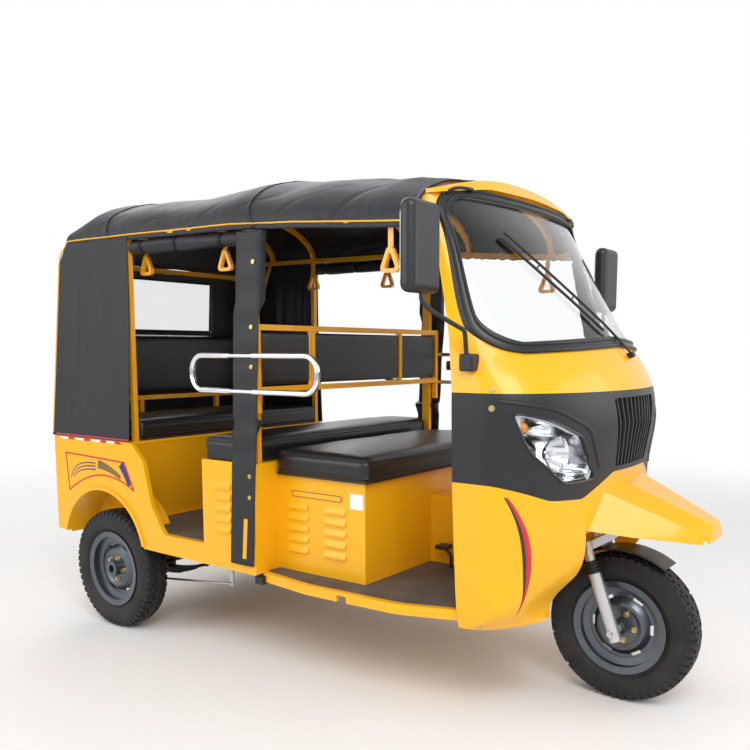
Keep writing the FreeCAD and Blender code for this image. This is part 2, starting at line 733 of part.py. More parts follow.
def front_floor():
    """Pressed floor tray with a deep edge, open under the seat box where the engine stands."""
    tray = plate(floor_rows(0), "xy", FRONT_FLOOR - 36, FRONT_FLOOR)
    hollow = plate(floor_rows(14), "xy", FRONT_FLOOR - 40, FRONT_FLOOR - 12)
    engine_bay = box(MID_FRONT_X - 1, 266, -ENGINE_BAY_Y, ENGINE_BAY_Y, FRONT_FLOOR - 40, FRONT_FLOOR + 1)
    rails = both(box(-130, 780, RAIL_Y - RAIL_W / 2 - TOUCH, RAIL_Y + RAIL_W / 2 + TOUCH, 300, FRONT_RAIL_TOP))
    out = both(box(298, 302 + RAIL_W, 300, 640, 300, FRONT_FLOOR - 12))
    out += both(box(-132, -88, 300, 640, 300, FRONT_FLOOR - 12))
    pipe_hole = rod(Vector(94, PIPE_Y, FRONT_FLOOR - 40), Vector(94, PIPE_Y, FRONT_FLOOR + 1), PIPE_R + 9)
    return tray.cut([hollow, engine_bay, neck(NECK_R + 4), pipe_hole] + rails + out)


# ---------------------------------------------------------------- seats
def middle_seat_box():
    inner = SIDE_Y - SIDE_T
    shell = box(MID_REAR_X, MID_FRONT_X, -inner, inner, REAR_FLOOR, MID_TOP)
    riser = box(MID_FRONT_X - PANEL_T, MID_FRONT_X, -inner, inner, FRONT_FLOOR, MID_TOP - PANEL_T)
    shell = shell.fuse(riser)
    hollow = box(MID_REAR_X + PANEL_T, MID_FRONT_X - PANEL_T, -inner, inner, REAR_FLOOR, MID_TOP - PANEL_T)
    bay = box(MID_FRONT_X - 20, MID_FRONT_X + 1, -ENGINE_BAY_Y, ENGINE_BAY_Y, FRONT_FLOOR - 1, 650)
    shell = shell.cut([hollow, bay])
    return joined([shell] + lid_knuckles(DRIVER_PIN, MID_FRONT_X - 4))


def cushion(x0, x1, half, low, thickness, edge):
    """Upholstered pad with its top edges rounded."""
    pad = box(x0, x1, -half, half, low, low + thickness)
    top_z = low + thickness
    edges = [line for line in pad.Edges if line.BoundBox.ZMax > top_z - 1]
    return pad.makeFillet(edge, edges)


def middle_seat_cushion():
    """Pad of the rear-facing seat, notched round the two middle posts."""
    pad = cushion(MID_REAR_X + 2, MID_FRONT_X - 26, SIDE_Y - 4, MID_TOP + TOUCH, CUSHION_T, 26)
    post = box(POST_X - POST_W / 2 - 2, 0, CANOPY_Y - CANVAS_T - TUBE - 2, SIDE_Y, MID_TOP, 1100)
    return pad.cut(both(post))


def driver_seat_box():
    outer = box(MID_FRONT_X, DRIVER_FRONT_X, -DRIVER_Y, DRIVER_Y, FRONT_FLOOR, DRIVER_TOP)
    hollow = box(MID_FRONT_X - 1, DRIVER_FRONT_X - PANEL_T, -DRIVER_Y + PANEL_T, DRIVER_Y - PANEL_T,
                 FRONT_FLOOR - 1, DRIVER_TOP - PANEL_T)
    top = box(MID_FRONT_X + 40, DRIVER_FRONT_X - 60, -DRIVER_Y + 60, DRIVER_Y - 60,
              DRIVER_TOP - PANEL_T - 1, DRIVER_TOP + 1)
    panel = outer.cut([hollow, top])
    hoods = []
    plaques = []
    for side in (-1, 1):
        hoods += louvres(((-38, 60), (146, 248)), 681, 43, 5, side * DRIVER_Y, side)
        inside, outside = sorted((side * (DRIVER_Y - 1), side * (DRIVER_Y + 2.5)))
        plaques.append(plate(((-28, 700, 12), (236, 700, 12), (236, 731, 12), (-28, 731, 12)), "xz", inside, outside))
    panel = with_louvres(panel.fuse(plaques), hoods)
    tunnel = box(DRIVER_FRONT_X - 1, TUNNEL_FRONT_X, -TUNNEL_Y, TUNNEL_Y, FRONT_FLOOR, TUNNEL_TOP)
    edges = [edge for edge in tunnel.Edges if edge.BoundBox.ZMin > TUNNEL_TOP - 1 or
             (edge.BoundBox.ZLength > 100 and edge.BoundBox.XMin > DRIVER_FRONT_X)]
    return panel.fuse(tunnel.makeFillet(12, edges)).removeSplitter()


def lid_straps(rear_x, low, pin_x, pin_z, y_places):
    """Hinge straps up the back of a seat lid to its pins."""
    straps = []
    for y in y_places:
        strap = box(pin_x - 1.5, rear_x, y - 14, y + 14, low, pin_z)
        barrel = rod(Vector(pin_x, y - 14, pin_z), Vector(pin_x, y + 14, pin_z), LID_PIN_R)
        straps.append(joined([strap, barrel]))
    return straps


def seat_lid(rear_x, front_x, half, low, pin):
    """Board under a hinged cushion, with the straps that reach its pins."""
    board = box(rear_x, front_x - 20, -half + 20, half - 20, low, low + SEAT_BOARD_T)
    straps = lid_straps(rear_x, low, pin[0], pin[1], LID_HINGE_Y)
    return joined([board] + straps)


def driver_lid_board():
    front = DRIVER_FRONT_X + SEAT_OVERHANG
    return seat_lid(DRIVER_PIN[0] + 6, front, DRIVER_CUSHION_Y, DRIVER_TOP + TOUCH, DRIVER_PIN)


def driver_seat_cushion():
    low = DRIVER_TOP + TOUCH + SEAT_BOARD_T
    front = DRIVER_FRONT_X + SEAT_OVERHANG
    return cushion(DRIVER_PIN[0] + 6, front, DRIVER_CUSHION_Y, low + TOUCH, CUSHION_T - SEAT_BOARD_T + 6, 32)


def doorway_post_room():
    """Space at the front corners of the rear seat where the canopy posts stand."""
    return both(box(DOOR_POST_X - 13, BENCH_FRONT_X + 20, CANOPY_Y - CANVAS_T - TUBE - 8, SIDE_Y,
                    BODY_TOP - 1, BODY_TOP + 200))


def rear_lid_board():
    lid = seat_lid(REAR_CUSHION_BACK, BENCH_FRONT_X + 8, SIDE_Y - SIDE_T - 6, BODY_TOP + TOUCH, REAR_PIN)
    return lid.cut(doorway_post_room())


def rear_seat_cushion():
    low = BODY_TOP + TOUCH + SEAT_BOARD_T
    half = SIDE_Y - SIDE_T - 6
    pad = cushion(REAR_CUSHION_BACK, BENCH_FRONT_X + 8, half, low + TOUCH, CUSHION_T - SEAT_BOARD_T, 30)
    return pad.cut(doorway_post_room())


def lid_knuckles(pin, wall_x):
    """Fixed hinge knuckles of a seat lid, either side of each strap, reaching forward from wall_x."""
    x, z = pin
    knuckles = []
    for y in LID_HINGE_Y:
        for start in (y - 14 - 1 - 12, y + 14 + 1):
            knuckles.append(rod(Vector(x, start, z), Vector(x, start + 12, z), LID_PIN_R))
            knuckles.append(box(wall_x, x, start, start + 12, z - LID_PIN_R, z))
    return knuckles


def rear_backrest_frame():
    """Cross bar below the rear backrest, on four legs that stand on the bench."""
    inner = SIDE_Y - SIDE_T - 12
    pieces = [box(BACK_LEG_X, BACK_LEG_X + TUBE, -inner, inner, BAR_Z, BAR_Z + TUBE)]
    for y in (-inner, -264.0 - TUBE / 2 + 14, 264.0 - TUBE / 2 - 14, inner - TUBE):
        pieces.append(box(BACK_LEG_X, BACK_LEG_X + TUBE, y, y + TUBE, BODY_TOP, BAR_Z))
    for y in LID_HINGE_Y:
        pin_z = REAR_PIN[1]
        pieces.append(box(BACK_LEG_X, BACK_LEG_X + TUBE, y - 28, y + 28, pin_z - 8, pin_z + 8))
    return joined(pieces + lid_knuckles(REAR_PIN, BACK_LEG_X + TUBE - 1))


def rear_backrest():
    back_x = BACK_LEG_X - 34
    pad = box(back_x, BACK_LEG_X + TUBE - 4, -598, 598, BAR_Z + TUBE + TOUCH, 1352)
    edges = [edge for edge in pad.Edges if edge.BoundBox.XMin > BACK_LEG_X]
    return pad.makeFillet(14, edges)


def backrest_frame():
    """Open rectangular frame between the middle posts, with two uprights and an end post each side."""
    x0, x1 = MID_FRONT_X - 4, MID_FRONT_X - 4 + TUBE
    half, low, high = BACKREST_HALF, BACKREST_LOW, BACKREST_TOP
    pieces = [box(x0, x1, -half, half, low, low + TUBE), box(x0, x1, -half, half, high - TUBE, high)]
    for y in (-UPRIGHT_Y - TUBE / 2, UPRIGHT_Y - TUBE / 2):
        pieces.append(box(x0, x1, y, y + TUBE, low, high))
    pieces += both(box(x0, x1, half, half + TUBE, low - 78, high))
    pieces += both(box(POST_X + POST_W / 2, x0 + 2, half, half + TUBE, high - TUBE, high))
    pieces += both(box(POST_X + POST_W / 2, x0 + 2, half, half + TUBE, low, low + TUBE))
    return joined(pieces)


def backrest_pads():
    """Three panels in the frame, one to each bay."""
    x0 = MID_FRONT_X - 4 + 3
    pads = []
    inner, outer = UPRIGHT_Y - TUBE / 2, UPRIGHT_Y + TUBE / 2
    low, high = BACKREST_LOW + TUBE + TOUCH, BACKREST_TOP - TUBE - TOUCH
    for left, right in ((-BACKREST_HALF, -outer), (-inner, inner), (outer, BACKREST_HALF)):
        pads.append(box(x0, x0 + TUBE - 6, left + TOUCH, right - TOUCH, low, high))
    return Part.Compound(pads)


@lru_cache(maxsize=None)
def side_guards():
    """Chrome hoops bolted to each end post, one forward for the driver and one rearward."""
    guards = []
    x_post = MID_FRONT_X - 4 + TUBE
    y = BACKREST_HALF + TUBE + GUARD_R
    for start, end in ((x_post - 12, 226.0), (POST_X - 92, -440.0)):
        route = ((start, y, GUARD_TOP), (end, y, GUARD_TOP), (end, y, GUARD_LOW), (start, y, GUARD_LOW))
        guards.append(pipe(route, GUARD_R, 60))
    for z in (GUARD_TOP, GUARD_LOW):
        guards.append(rod(Vector(POST_X - 93, y, z), Vector(x_post - 11, y, z), 8))
        guards.append(box(x_post - TUBE, x_post, BACKREST_HALF + TUBE, y, z - 8, z + 8))
    return Part.Compound(both(joined(guards)))


# ---------------------------------------------------------------- cab
@lru_cache(maxsize=None)
def cab_loft(inset):
    """The cab's outer form, moved inward by inset, before its roof and door edge are cut."""
    back = 540.0
    wires = []
    for z, half, turn_x, nose_x in CAB_SECTIONS:
        a = half - inset
        length = nose_x - turn_x - inset
        curve = Part.Ellipse(Vector(turn_x, a, z), Vector(turn_x + length, 0, z), Vector(turn_x, 0, z))
        wires.append(Part.Wire([
            Part.makeLine(Vector(back, a, z), Vector(turn_x, a, z)),
            Part.ArcOfEllipse(curve, 0, math.pi).toShape(),
            Part.makeLine(Vector(turn_x, -a, z), Vector(back, -a, z)),
            Part.makeLine(Vector(back, -a, z), Vector(back, a, z)),
        ]))
    return Part.makeLoft(wires, True, False)


def roof_arch(inset):
    """Prism under the crowned roof, moved down by inset."""
    a = ROOF_HALF - inset
    crown = Vector(500, 0, ROOF_SHOULDER + ROOF_RISE - inset)
    curve = Part.Ellipse(Vector(500, a, ROOF_SHOULDER), crown, Vector(500, 0, ROOF_SHOULDER))
    wire = Part.Wire([
        Part.ArcOfEllipse(curve, 0, math.pi).toShape(),
        Part.makeLine(Vector(500, -a, ROOF_SHOULDER), Vector(500, -a, 300)),
        Part.makeLine(Vector(500, -a, 300), Vector(500, a, 300)),
        Part.makeLine(Vector(500, a, 300), Vector(500, a, ROOF_SHOULDER)),
    ])
    return Part.Face(wire).extrude(Vector(900, 0, 0))


def door_edge():
    """Side outline of the cab: everything ahead of its raked rear edge."""
    rows = ((779, 340, 0), (758, 845, 0), (752, 1150, 150), (732, 1307, 250), (655, 1700, 120), (560, 1850, 80),
            (545, 1960, 0), (1300, 1960, 0), (1300, 340, 0))
    return plate(rows, "xz", -700, 700)


@lru_cache(maxsize=None)
def cab_outer():
    return cab_loft(0).common(roof_arch(0)).common(door_edge())


@lru_cache(maxsize=None)
def cab_layer(outset, inset):
    """Skin of the cab between two distances inside its outer surface."""
    solid = cab_loft(outset).common(roof_arch(outset)).common(door_edge())
    hollow = cab_loft(inset).common(roof_arch(inset))
    drop = box(500, 1300, -700, 700, CAB_SILL - 5, CAB_SILL + 0.5)
    return solid.cut([hollow, drop])


def below_nose_rows():
    """Front-view outline of everything under the black nose panel."""
    left = [(700, 300, 0), (700, 858, 0), (588, 842, 60), (450, 787, 120), (320, 782, 60), (150, 858, 60)]
    return left + [(-y, z, corner) for y, z, corner in reversed(left)]


def wheel_opening():
    """Front-view opening in the lower cowl for the wheel."""
    left = [(WELL_HALF, WELL_TOP, 0), (WELL_HALF, 420, 80), (WELL_HALF + 30, 365, 60), (WELL_HALF + 40, 300, 0)]
    right = [(-y, z, corner) for y, z, corner in reversed(left)]
    return plate(right + left, "yz", 860, 1300)


def lower_cowl():
    skin = cab_layer(0, CAB_T).common(plate(below_nose_rows(), "yz", 500, 1300))
    return skin.cut(wheel_opening())


def screen_rows(inset):
    """Front-view outline of the screen: its band looks narrower at the sides, where the cab turns away."""
    low, high = SCREEN_LOW + inset, SCREEN_TOP - inset
    half_low, half_high = 556 - inset * 0.58, 536 - inset * 0.58
    return ((-half_low, low, 90), (0, low + SCREEN_DIP, 400), (half_low, low, 90), (half_high, high, 100),
            (-half_high, high, 100))


def grille_rows(inset):
    half_low, half_high = 142 - inset, 188 - inset
    low, high = GRILLE_LOW + inset, GRILLE_TOP - inset
    return ((-half_low, low, 12), (half_low, low, 12), (half_high, high, 12), (-half_high, high, 12))


def headlamp_rows(inset):
    """Leaf outline of the right headlamp, seen from the front."""
    return ((-562 + inset * 1.6, 1078 - inset, 12), (-470, 1052 - inset, 260), (-345 - inset, 990, 60),
            (-258 - inset, 846 + inset, 22), (-400, 838 + inset, 70), (-520 + inset, 950, 160))


def both_lamps(inset, x0, x1):
    lamp = plate(headlamp_rows(inset), "yz", x0, x1)
    return both(lamp)


def nose_panel():
    """Black panel round the grille and headlamps."""
    skin = cab_layer(0, CAB_T).cut(plate(below_nose_rows(), "yz", 500, 1300))
    skin = skin.cut(box(400, 1400, -700, 700, DIVISION_Z, 2100))
    return skin.cut([plate(grille_rows(0), "yz", 900, 1400)] + both_lamps(0, 880, 1400))


def nose_x(z):
    """How far forward the nose stands at a height, straight between the cab's sections."""
    for (z0, half0, turn0, nose0), (z1, half1, turn1, nose1) in zip(CAB_SECTIONS, CAB_SECTIONS[1:]):
        if z0 <= z <= z1:
            return nose0 + (nose1 - nose0) * (z - z0) / (z1 - z0)
    raise ValueError(z)


def nose_drop(y):
    """How far the nose curves back at a distance from the middle."""
    return 303 * (1 - math.sqrt(1 - (y / 587.0) ** 2))


@lru_cache(maxsize=None)
def grille():
    """Backing panel with upright bars that stand in the nose opening."""
    heights = (GRILLE_LOW + TOUCH, 1020, GRILLE_TOP - TOUCH)
    back = CAB_T - TOUCH
    wires = []
    for z in heights:
        half = 142 - TOUCH + 46 * (z - GRILLE_LOW) / (GRILLE_TOP - GRILLE_LOW)
        rows = []
        for depth, y in ((10, -half), (10, 0), (10, half), (back, half), (back, 0), (back, -half)):
            rows.append(Vector(nose_x(z) - nose_drop(y) - depth, y, z))
        wires.append(Part.Wire([Part.Arc(*rows[:3]).toShape(), Part.makeLine(rows[2], rows[3]),
                                Part.Arc(*rows[3:]).toShape(), Part.makeLine(rows[5], rows[0])]))
    pieces = [Part.makeLoft(wires, True, True)]
    for index in range(GRILLE_BARS):
        share = (index + 0.5) / GRILLE_BARS * 2 - 1
        bar = []
        for z in heights:
            y = share * (134 + 44 * (z - GRILLE_LOW) / (GRILLE_TOP - GRILLE_LOW))
            front = nose_x(z) - nose_drop(y) - 2
            corners = [Vector(front, y - 4, z), Vector(front, y + 4, z),
                       Vector(front - 10, y + 6, z), Vector(front - 10, y - 6, z)]
            bar.append(Part.makePolygon(corners + corners[:1]))
        pieces.append(Part.makeLoft(bar, True, True))
    return joined(pieces).common(plate(grille_rows(1), "yz", 900, 1400))


def headlamps():
    """Lamp bowls behind the lenses."""
    bowl = Part.Compound(both_lamps(TOUCH, 960, 1400)).common(cab_loft(CAB_T - 2))
    return bowl.cut(both_lamps(9, 975, 1400))


def headlamp_lenses():
    return cab_layer(1, CAB_T - 2 - TOUCH).common(Part.Compound(both_lamps(TOUCH, 880, 1400)))


def upper_cowl():
    """Yellow scuttle, screen pillars and roof in one pressing."""
    skin = cab_layer(0, CAB_T).cut(box(400, 1400, -700, 700, 300, DIVISION_Z))
    skin = skin.cut([plate(screen_rows(GASKET_W), "yz", 500, 1400), gasket_body()])
    return joined([skin, visor()])


@lru_cache(maxsize=None)
def gasket_body():
    band = cab_layer(-7, CAB_T + 5).common(plate(screen_rows(0), "yz", 560, 1400))
    return band.cut(plate(screen_rows(GASKET_W), "yz", 500, 1400))


def windscreen_gasket():
    return gasket_body().cut(windscreen())


@lru_cache(maxsize=None)
def windscreen():
    return cab_layer(4, 10).common(plate(screen_rows(GASKET_W - 14), "yz", 560, 1400))


def visor():
    """Slim peak that follows the front edge of the roof, over the windscreen."""
    under = [(-545, 1788, 0), (-300, 1824, 400), (0, 1831, 0), (300, 1824, 400), (545, 1788, 0)]
    over = [(y, z + 14, corner) for y, z, corner in reversed(under)]
    return cab_layer(-20, 2).common(plate(under + over, "yz", 620, 1000)).cut(gasket_body())


def bulkhead():
    """Front foot wall, dash shelf and the well that the wheel turns in."""
    inside = cab_loft(CAB_T + TOUCH)
    wall = box(BULKHEAD_X, BULKHEAD_X + PANEL_T, -600, 600, FRONT_FLOOR, DASH_Z)
    shelf = box(BULKHEAD_X, 1300, -600, 600, DASH_Z - PANEL_T, DASH_Z)
    front = box(BULKHEAD_X, 1300, -WELL_HALF, WELL_HALF, CAB_SILL, WELL_TOP)
    room = box(BULKHEAD_X + PANEL_T, 1400, -WELL_HALF + PANEL_T, WELL_HALF - PANEL_T, CAB_SILL - 1, WELL_TOP - PANEL_T)
    well = front.cut(room)
    column = rod(along_fork(HEAD_LOW - 60), along_fork(BAR_CLAMP), STEM_R + 20)
    pod = rounded_box(930, 990, -70, 70, DASH_Z - 20, DASH_Z + 62, 12)
    shape = joined([wall, shelf, well, pod]).common(inside)
    neck = rod(Vector(NECK_FOOT[0], 0, NECK_FOOT[1]), along_fork(HEAD_LOW + 160), 34)
    brace = rod(along_fork(HEAD_LOW + 60), Vector(BRACE_FOOT[0], 0, BRACE_FOOT[1]), 22 + TOUCH)
    return shape.cut([grille(), column, neck, brace])


def front_mudguard():
    """Beak over the front wheel, with a crease each side, open underneath."""
    # station, bottom half width and height, crease half width and height, top half width and height
    stations = (
        (1085, 304, 674, 214, 812, 120, 852),
        (1240, 214, 650, 160, 744, 90, 786),
        (1425, 100, 629, 92, 664, 52, 702),
        (1452, 74, 632, 68, 656, 38, 690),
    )

    def hull(shrink, start, end):
        wires = []
        for x, low_y, low_z, mid_y, mid_z, top_y, top_z in stations:
            x = start if x == stations[0][0] else x
            x = end if x == stations[-1][0] else x
            left = [(top_y - shrink / 2, top_z - shrink), (mid_y - shrink, mid_z - shrink / 2), (low_y - shrink, low_z)]
            points = [(-y, z) for y, z in reversed(left)] + left
            corners = [Vector(x, y, z) for y, z in points]
            wires.append(Part.makePolygon(corners + corners[:1]))
        return Part.makeLoft(wires, True, True)

    shell = hull(0, 1085, 1452).cut(hull(7, 1080, 1444)).cut(box(1080, 1444, -90, 90, 600, 640))
    return shell.cut(cab_outer())


def mirror_recess(x0, x1):
    return plate(((682, 1460, 26), (818, 1460, 26), (818, 1710, 26), (682, 1710, 26)), "yz", x0, x1)


def mirror_stem():
    stem = pipe(((815, 596, 1240), (815, 612, 1335), (758, 715, 1392), (742, 750, 1425), (742, 750, 1452)), 7.5, 18)
    base = rounded_box(790, 842, 560, 608, 1206, 1262, 8)
    return joined([stem, base]).cut(cab_outer())


def mirrors():
    body = rounded_box(708, 766, 668, 832, 1446, 1724, 26)
    return Part.Compound(both(joined([body.cut(mirror_recess(700, 713)), mirror_stem()])))


def mirror_glass():
    return Part.Compound(both(mirror_recess(710, 713)))


def on_cab(y, z, lift):
    """Point on the cab's outer surface at y and z, moved forward by lift."""
    curved = [face for face in cab_loft(0).Faces if face.Surface.TypeId.endswith("BSplineSurface")]
    skin = max(curved, key=lambda face: face.Area)
    hits = Part.Line(Vector(0, y, z), Vector(100, y, z)).intersectCS(skin.Surface)[0]
    return Vector(max(point.X for point in hits) + lift, y, z)


def wiper():
    """Wiper arm from its spindle on the scuttle to the blade that rests across the windscreen."""
    pivot_y, pivot_z = 60.0, SCREEN_LOW
    tip_y, tip_z = -345.0, SCREEN_TOP - 150
    arm = []
    blade = []
    for share in (0, 0.25, 0.5, 0.75, 1):
        y = pivot_y + (tip_y - pivot_y) * share
        z = pivot_z + (tip_z - pivot_z) * share
        arm.append(on_cab(y, z, 19))
        blade.append(on_cab(y - 18, z - 18, 9))
    pieces = [pipe(arm, 4.5, 90), pipe(blade[1:], 5, 90)]
    pieces += [rod(arm[index], blade[index], 3) for index in (2, 3)]
    pieces.append(rod(arm[0] - Vector(30, 0, 12), arm[0] + Vector(6, 0, 2), 11))
    return joined(pieces).cut(cab_outer())


def foot_pedal():
    """Brake pedal to the right of the tunnel."""
    arm = pipe(((470, -122, FRONT_FLOOR + 4), (470, -122, 452), (440, -122, 492)), 7, 10)
    pad = rounded_box(408, 462, -150, -94, 478, 496, 6)
    return joined([arm, pad])


# ---------------------------------------------------------------- canopy
def canopy_loft(inset, front, rear_shift):
    """Form of the canvas roof moved inward by inset, with its end stations moved along X."""
    wires = []
    last = CANOPY_SECTIONS[-1][0]
    first = CANOPY_SECTIONS[0][0]
    for x, rail_z, crown_z in CANOPY_SECTIONS:
        a = CANOPY_Y - inset
        station = x + {last: front, first: rear_shift}.get(x, 0)
        low = rail_z - HEM - (1 if inset else 0)
        rise = crown_z - rail_z - inset
        curve = Part.Ellipse(Vector(station, a, rail_z), Vector(station, 0, rail_z + rise), Vector(station, 0, rail_z))
        wires.append(Part.Wire([
            Part.makeLine(Vector(station, a, low), Vector(station, a, rail_z)),
            Part.ArcOfEllipse(curve, 0, math.pi).toShape(),
            Part.makeLine(Vector(station, -a, rail_z), Vector(station, -a, low)),
            Part.makeLine(Vector(station, -a, low), Vector(station, a, low)),
        ]))
    return Part.makeLoft(wires, True, True)


@lru_cache(maxsize=None)
def canopy_top():
    """Canvas roof: half-elliptical sections drawn straight from hoop to hoop, with a hem."""
    shell = canopy_loft(0, 0, 0).cut(canopy_loft(CANVAS_T, 5, CANVAS_T))
    nose_cut = plate(((668, 1500, 0), (668, 1690, 0), (575, 1855, 60), (560, 1935, 0), (900, 1935, 0),
                      (900, 1500, 0)), "xz", -700, 700)
    return shell.cut([nose_cut, cab_outer()])


def rail_z(x):
    """Heights of the side rail and of the crown at a station, straight between the sections."""
    for (x0, z0, c0), (x1, z1, c1) in zip(CANOPY_SECTIONS, CANOPY_SECTIONS[1:]):
        if x0 <= x <= x1:
            share = (x - x0) / (x1 - x0)
            return z0 + (z1 - z0) * share, c0 + (c1 - c0) * share
    raise ValueError(x)


def quarter_form(inset, overrun=0.0):
    """Tapered box of the rear enclosure, moved inward by inset and run past its open ends by overrun."""
    wires = []
    for z, x_rear, half in ((BODY_TOP - overrun, BODY_REAR_X, SIDE_Y + 6), (1790 + overrun, -1361, CANOPY_Y)):
        a = half - inset
        rear = x_rear + inset
        front = QUARTER_FRONT_X + overrun
        corners = [Vector(rear, -a, z), Vector(front, -a, z), Vector(front, a, z), Vector(rear, a, z)]
        wires.append(Part.makePolygon(corners + corners[:1]))
    return Part.makeLoft(wires, True, True)


def canopy_rear():
    """Rear wall and quarter panels of the canopy, down to the body's top edge, with the window cut."""
    shell = quarter_form(0).cut(quarter_form(CANVAS_T, 1))
    hem_line = [(x, z - HEM, 0) for x, z, crown in CANOPY_SECTIONS[:4]]
    top_cut = plate([(-1500, hem_line[0][1], 0)] + hem_line + [(-765, 1900, 0), (-1500, 1900, 0)], "xz", -700, 700)
    return shell.cut([top_cut, window_prism(0)])


def window_prism(inset):
    half, low, high = WINDOW_HALF - inset, WINDOW_LOW + inset, WINDOW_TOP - inset
    return plate(((-half, low, 32), (half, low, 32), (half, high, 32), (-half, high, 32)), "yz", -1500, -1300)


def rear_window():
    """Clear sheet sewn into the rear wall."""
    return quarter_form(2).cut(quarter_form(5)).common(window_prism(TOUCH))


@lru_cache(maxsize=None)
def canopy_frame():
    """Side rails, hoops, posts and braces of the canopy."""
    rail_rows_xz = [(x, z - TOUCH, 0) for x, z, crown in CANOPY_SECTIONS[1:-1]]
    rail_rows_xz.append((652, rail_z(652)[0] - TOUCH, 0))
    under = [(x, z - TUBE, 0) for x, z, radius in reversed(rail_rows_xz)]
    outer = CANOPY_Y - CANVAS_T - TOUCH
    pieces = both(plate(rail_rows_xz + under, "xz", outer - TUBE, outer))
    for x in HOOP_STATIONS:
        side_z, crown_z = rail_z(x)
        rings = []
        for inset in (CANVAS_T + 2, CANVAS_T + 2 + TUBE):
            a = CANOPY_Y - inset
            curve = Part.Ellipse(Vector(x, a, side_z - 4), Vector(x, 0, crown_z - inset), Vector(x, 0, side_z - 4))
            sill = Part.makeLine(Vector(x, -a, side_z - 4), Vector(x, a, side_z - 4))
            rings.append(Part.Face(Part.Wire([Part.ArcOfEllipse(curve, 0, math.pi).toShape(), sill])))
        pieces.append(rings[0].cut(rings[1]).extrude(Vector(TUBE, 0, 0)))
    post_rear = POST_X - POST_W / 2
    post_top = rail_z(post_rear)[0] - TUBE + 2
    pieces += both(box(post_rear, post_rear + POST_W, outer - TUBE, outer, MID_TOP, post_top))
    pieces += both(box(630, 652, 540, outer, rail_z(640)[0] - TUBE, rail_z(640)[0] - 2))
    pieces += both(box(DOOR_POST_X, DOOR_POST_X + TUBE, outer - TUBE, outer, BODY_TOP, rail_z(DOOR_POST_X)[0] - 4))
    foot_x = BODY_REAR_X + 14
    rear_top = CANOPY_SECTIONS[1][1] - TOUCH
    rear_post = plate(((foot_x, BODY_TOP, 0), (foot_x + TUBE, BODY_TOP, 0), (-1340, 1700, 0),
                       (-1290, rear_top - TUBE, 0), (-1290, rear_top, 0), (-1306, rear_top, 0), (-1361, 1690, 0)),
                      "xz", outer - TUBE, outer)
    pieces += both(rear_post)
    pieces.append(box(-1352, -1352 + TUBE, -outer, outer, 1668, 1668 + TUBE))
    pieces += both(pipe(((-1200, outer - 11, 1770), (-1384, outer - 11, 1330)), 9, 10))
    frame = joined(pieces)
    return frame.cut([cab_outer(), canopy_top()])


def pillar_wraps():
    """Canvas sleeves laced round the middle posts."""
    rows = ((-239, 429, 8), (-113, 429, 8), (-42, 1718, 8), (-179, 1718, 8))
    low = plate(rows, "xz", SIDE_Y + TOUCH, SIDE_Y + 14)
    high = plate(rows, "xz", CANOPY_Y - CANVAS_T - TUBE - 8, SIDE_Y + 14).common(
        box(-400, 100, 500, 700, MID_TOP + CUSHION_T + 8, 1722))
    sleeve = joined([low, high])
    core = box(POST_X - POST_W / 2 - 1, POST_X + POST_W / 2 + 1, 500, CANOPY_Y - CANVAS_T + 1, 400, 1800)
    sleeve = sleeve.cut([core, box(MID_FRONT_X - 8, 0, 500, SIDE_Y - 3, 1020, 1400)])
    hood = box(-400, 100, 500, 700, rail_z(-180)[0] - HEM - 1, 1900)
    louvre_room = box(-210, -122, SIDE_Y - 1, SIDE_Y + 10.5, 530, 756)
    return Part.Compound(both(sleeve.cut([hood, louvre_room, side_guards()])))


def side_curtains():
    """Side curtains rolled up under the rail, between the quarter panel and the middle post."""
    x0, x1 = QUARTER_FRONT_X + 6, -196.0
    y = CANOPY_Y - 30
    under_rail = TUBE + ROLL_R + 2 * TOUCH
    roll = pipe([(x, y, rail_z(x)[0] - under_rail) for x in (x0, -520.0, x1)], ROLL_R, 400)
    return Part.Compound(both(roll.cut([canopy_frame(), canopy_top()])))


def grab_handles():
    """Triangular straps that hang from the rails."""
    handles = []
    for x in (-831.0, -336.0, 520.0):
        top = rail_z(x)[0] - TUBE
        y = CANOPY_Y - CANVAS_T - TUBE / 2
        if x < 0:
            y -= 56
        strap = box(x - 10, x + 10, y - 2, y + 2, top - 66, top + 2)
        if x < 0:
            tab = box(x - 10, x + 10, y - 2, CANOPY_Y - CANVAS_T - TUBE + 1, top, top + 4)
            strap = joined([strap, tab])
        outer = plate(((x - 46, top - 150, 16), (x + 46, top - 150, 16), (x, top - 40, 16)), "xz", y - 8, y + 8)
        inner = plate(((x - 25, top - 137, 6), (x + 25, top - 137, 6), (x, top - 76, 6)), "xz", y - 9, y + 9)
        handles.append(joined([strap, outer.cut(inner)]))
    return Part.Compound([shape for handle in handles for shape in both(handle)]).cut(canopy_frame())


# ---------------------------------------------------------------- sub-parts
FRONT_CENTRE = Vector(FRONT_AXLE_X, 0, TYRE_R)


def rear_centre(side):
    return Vector(REAR_AXLE_X, side * TRACK / 2, TYRE_R)


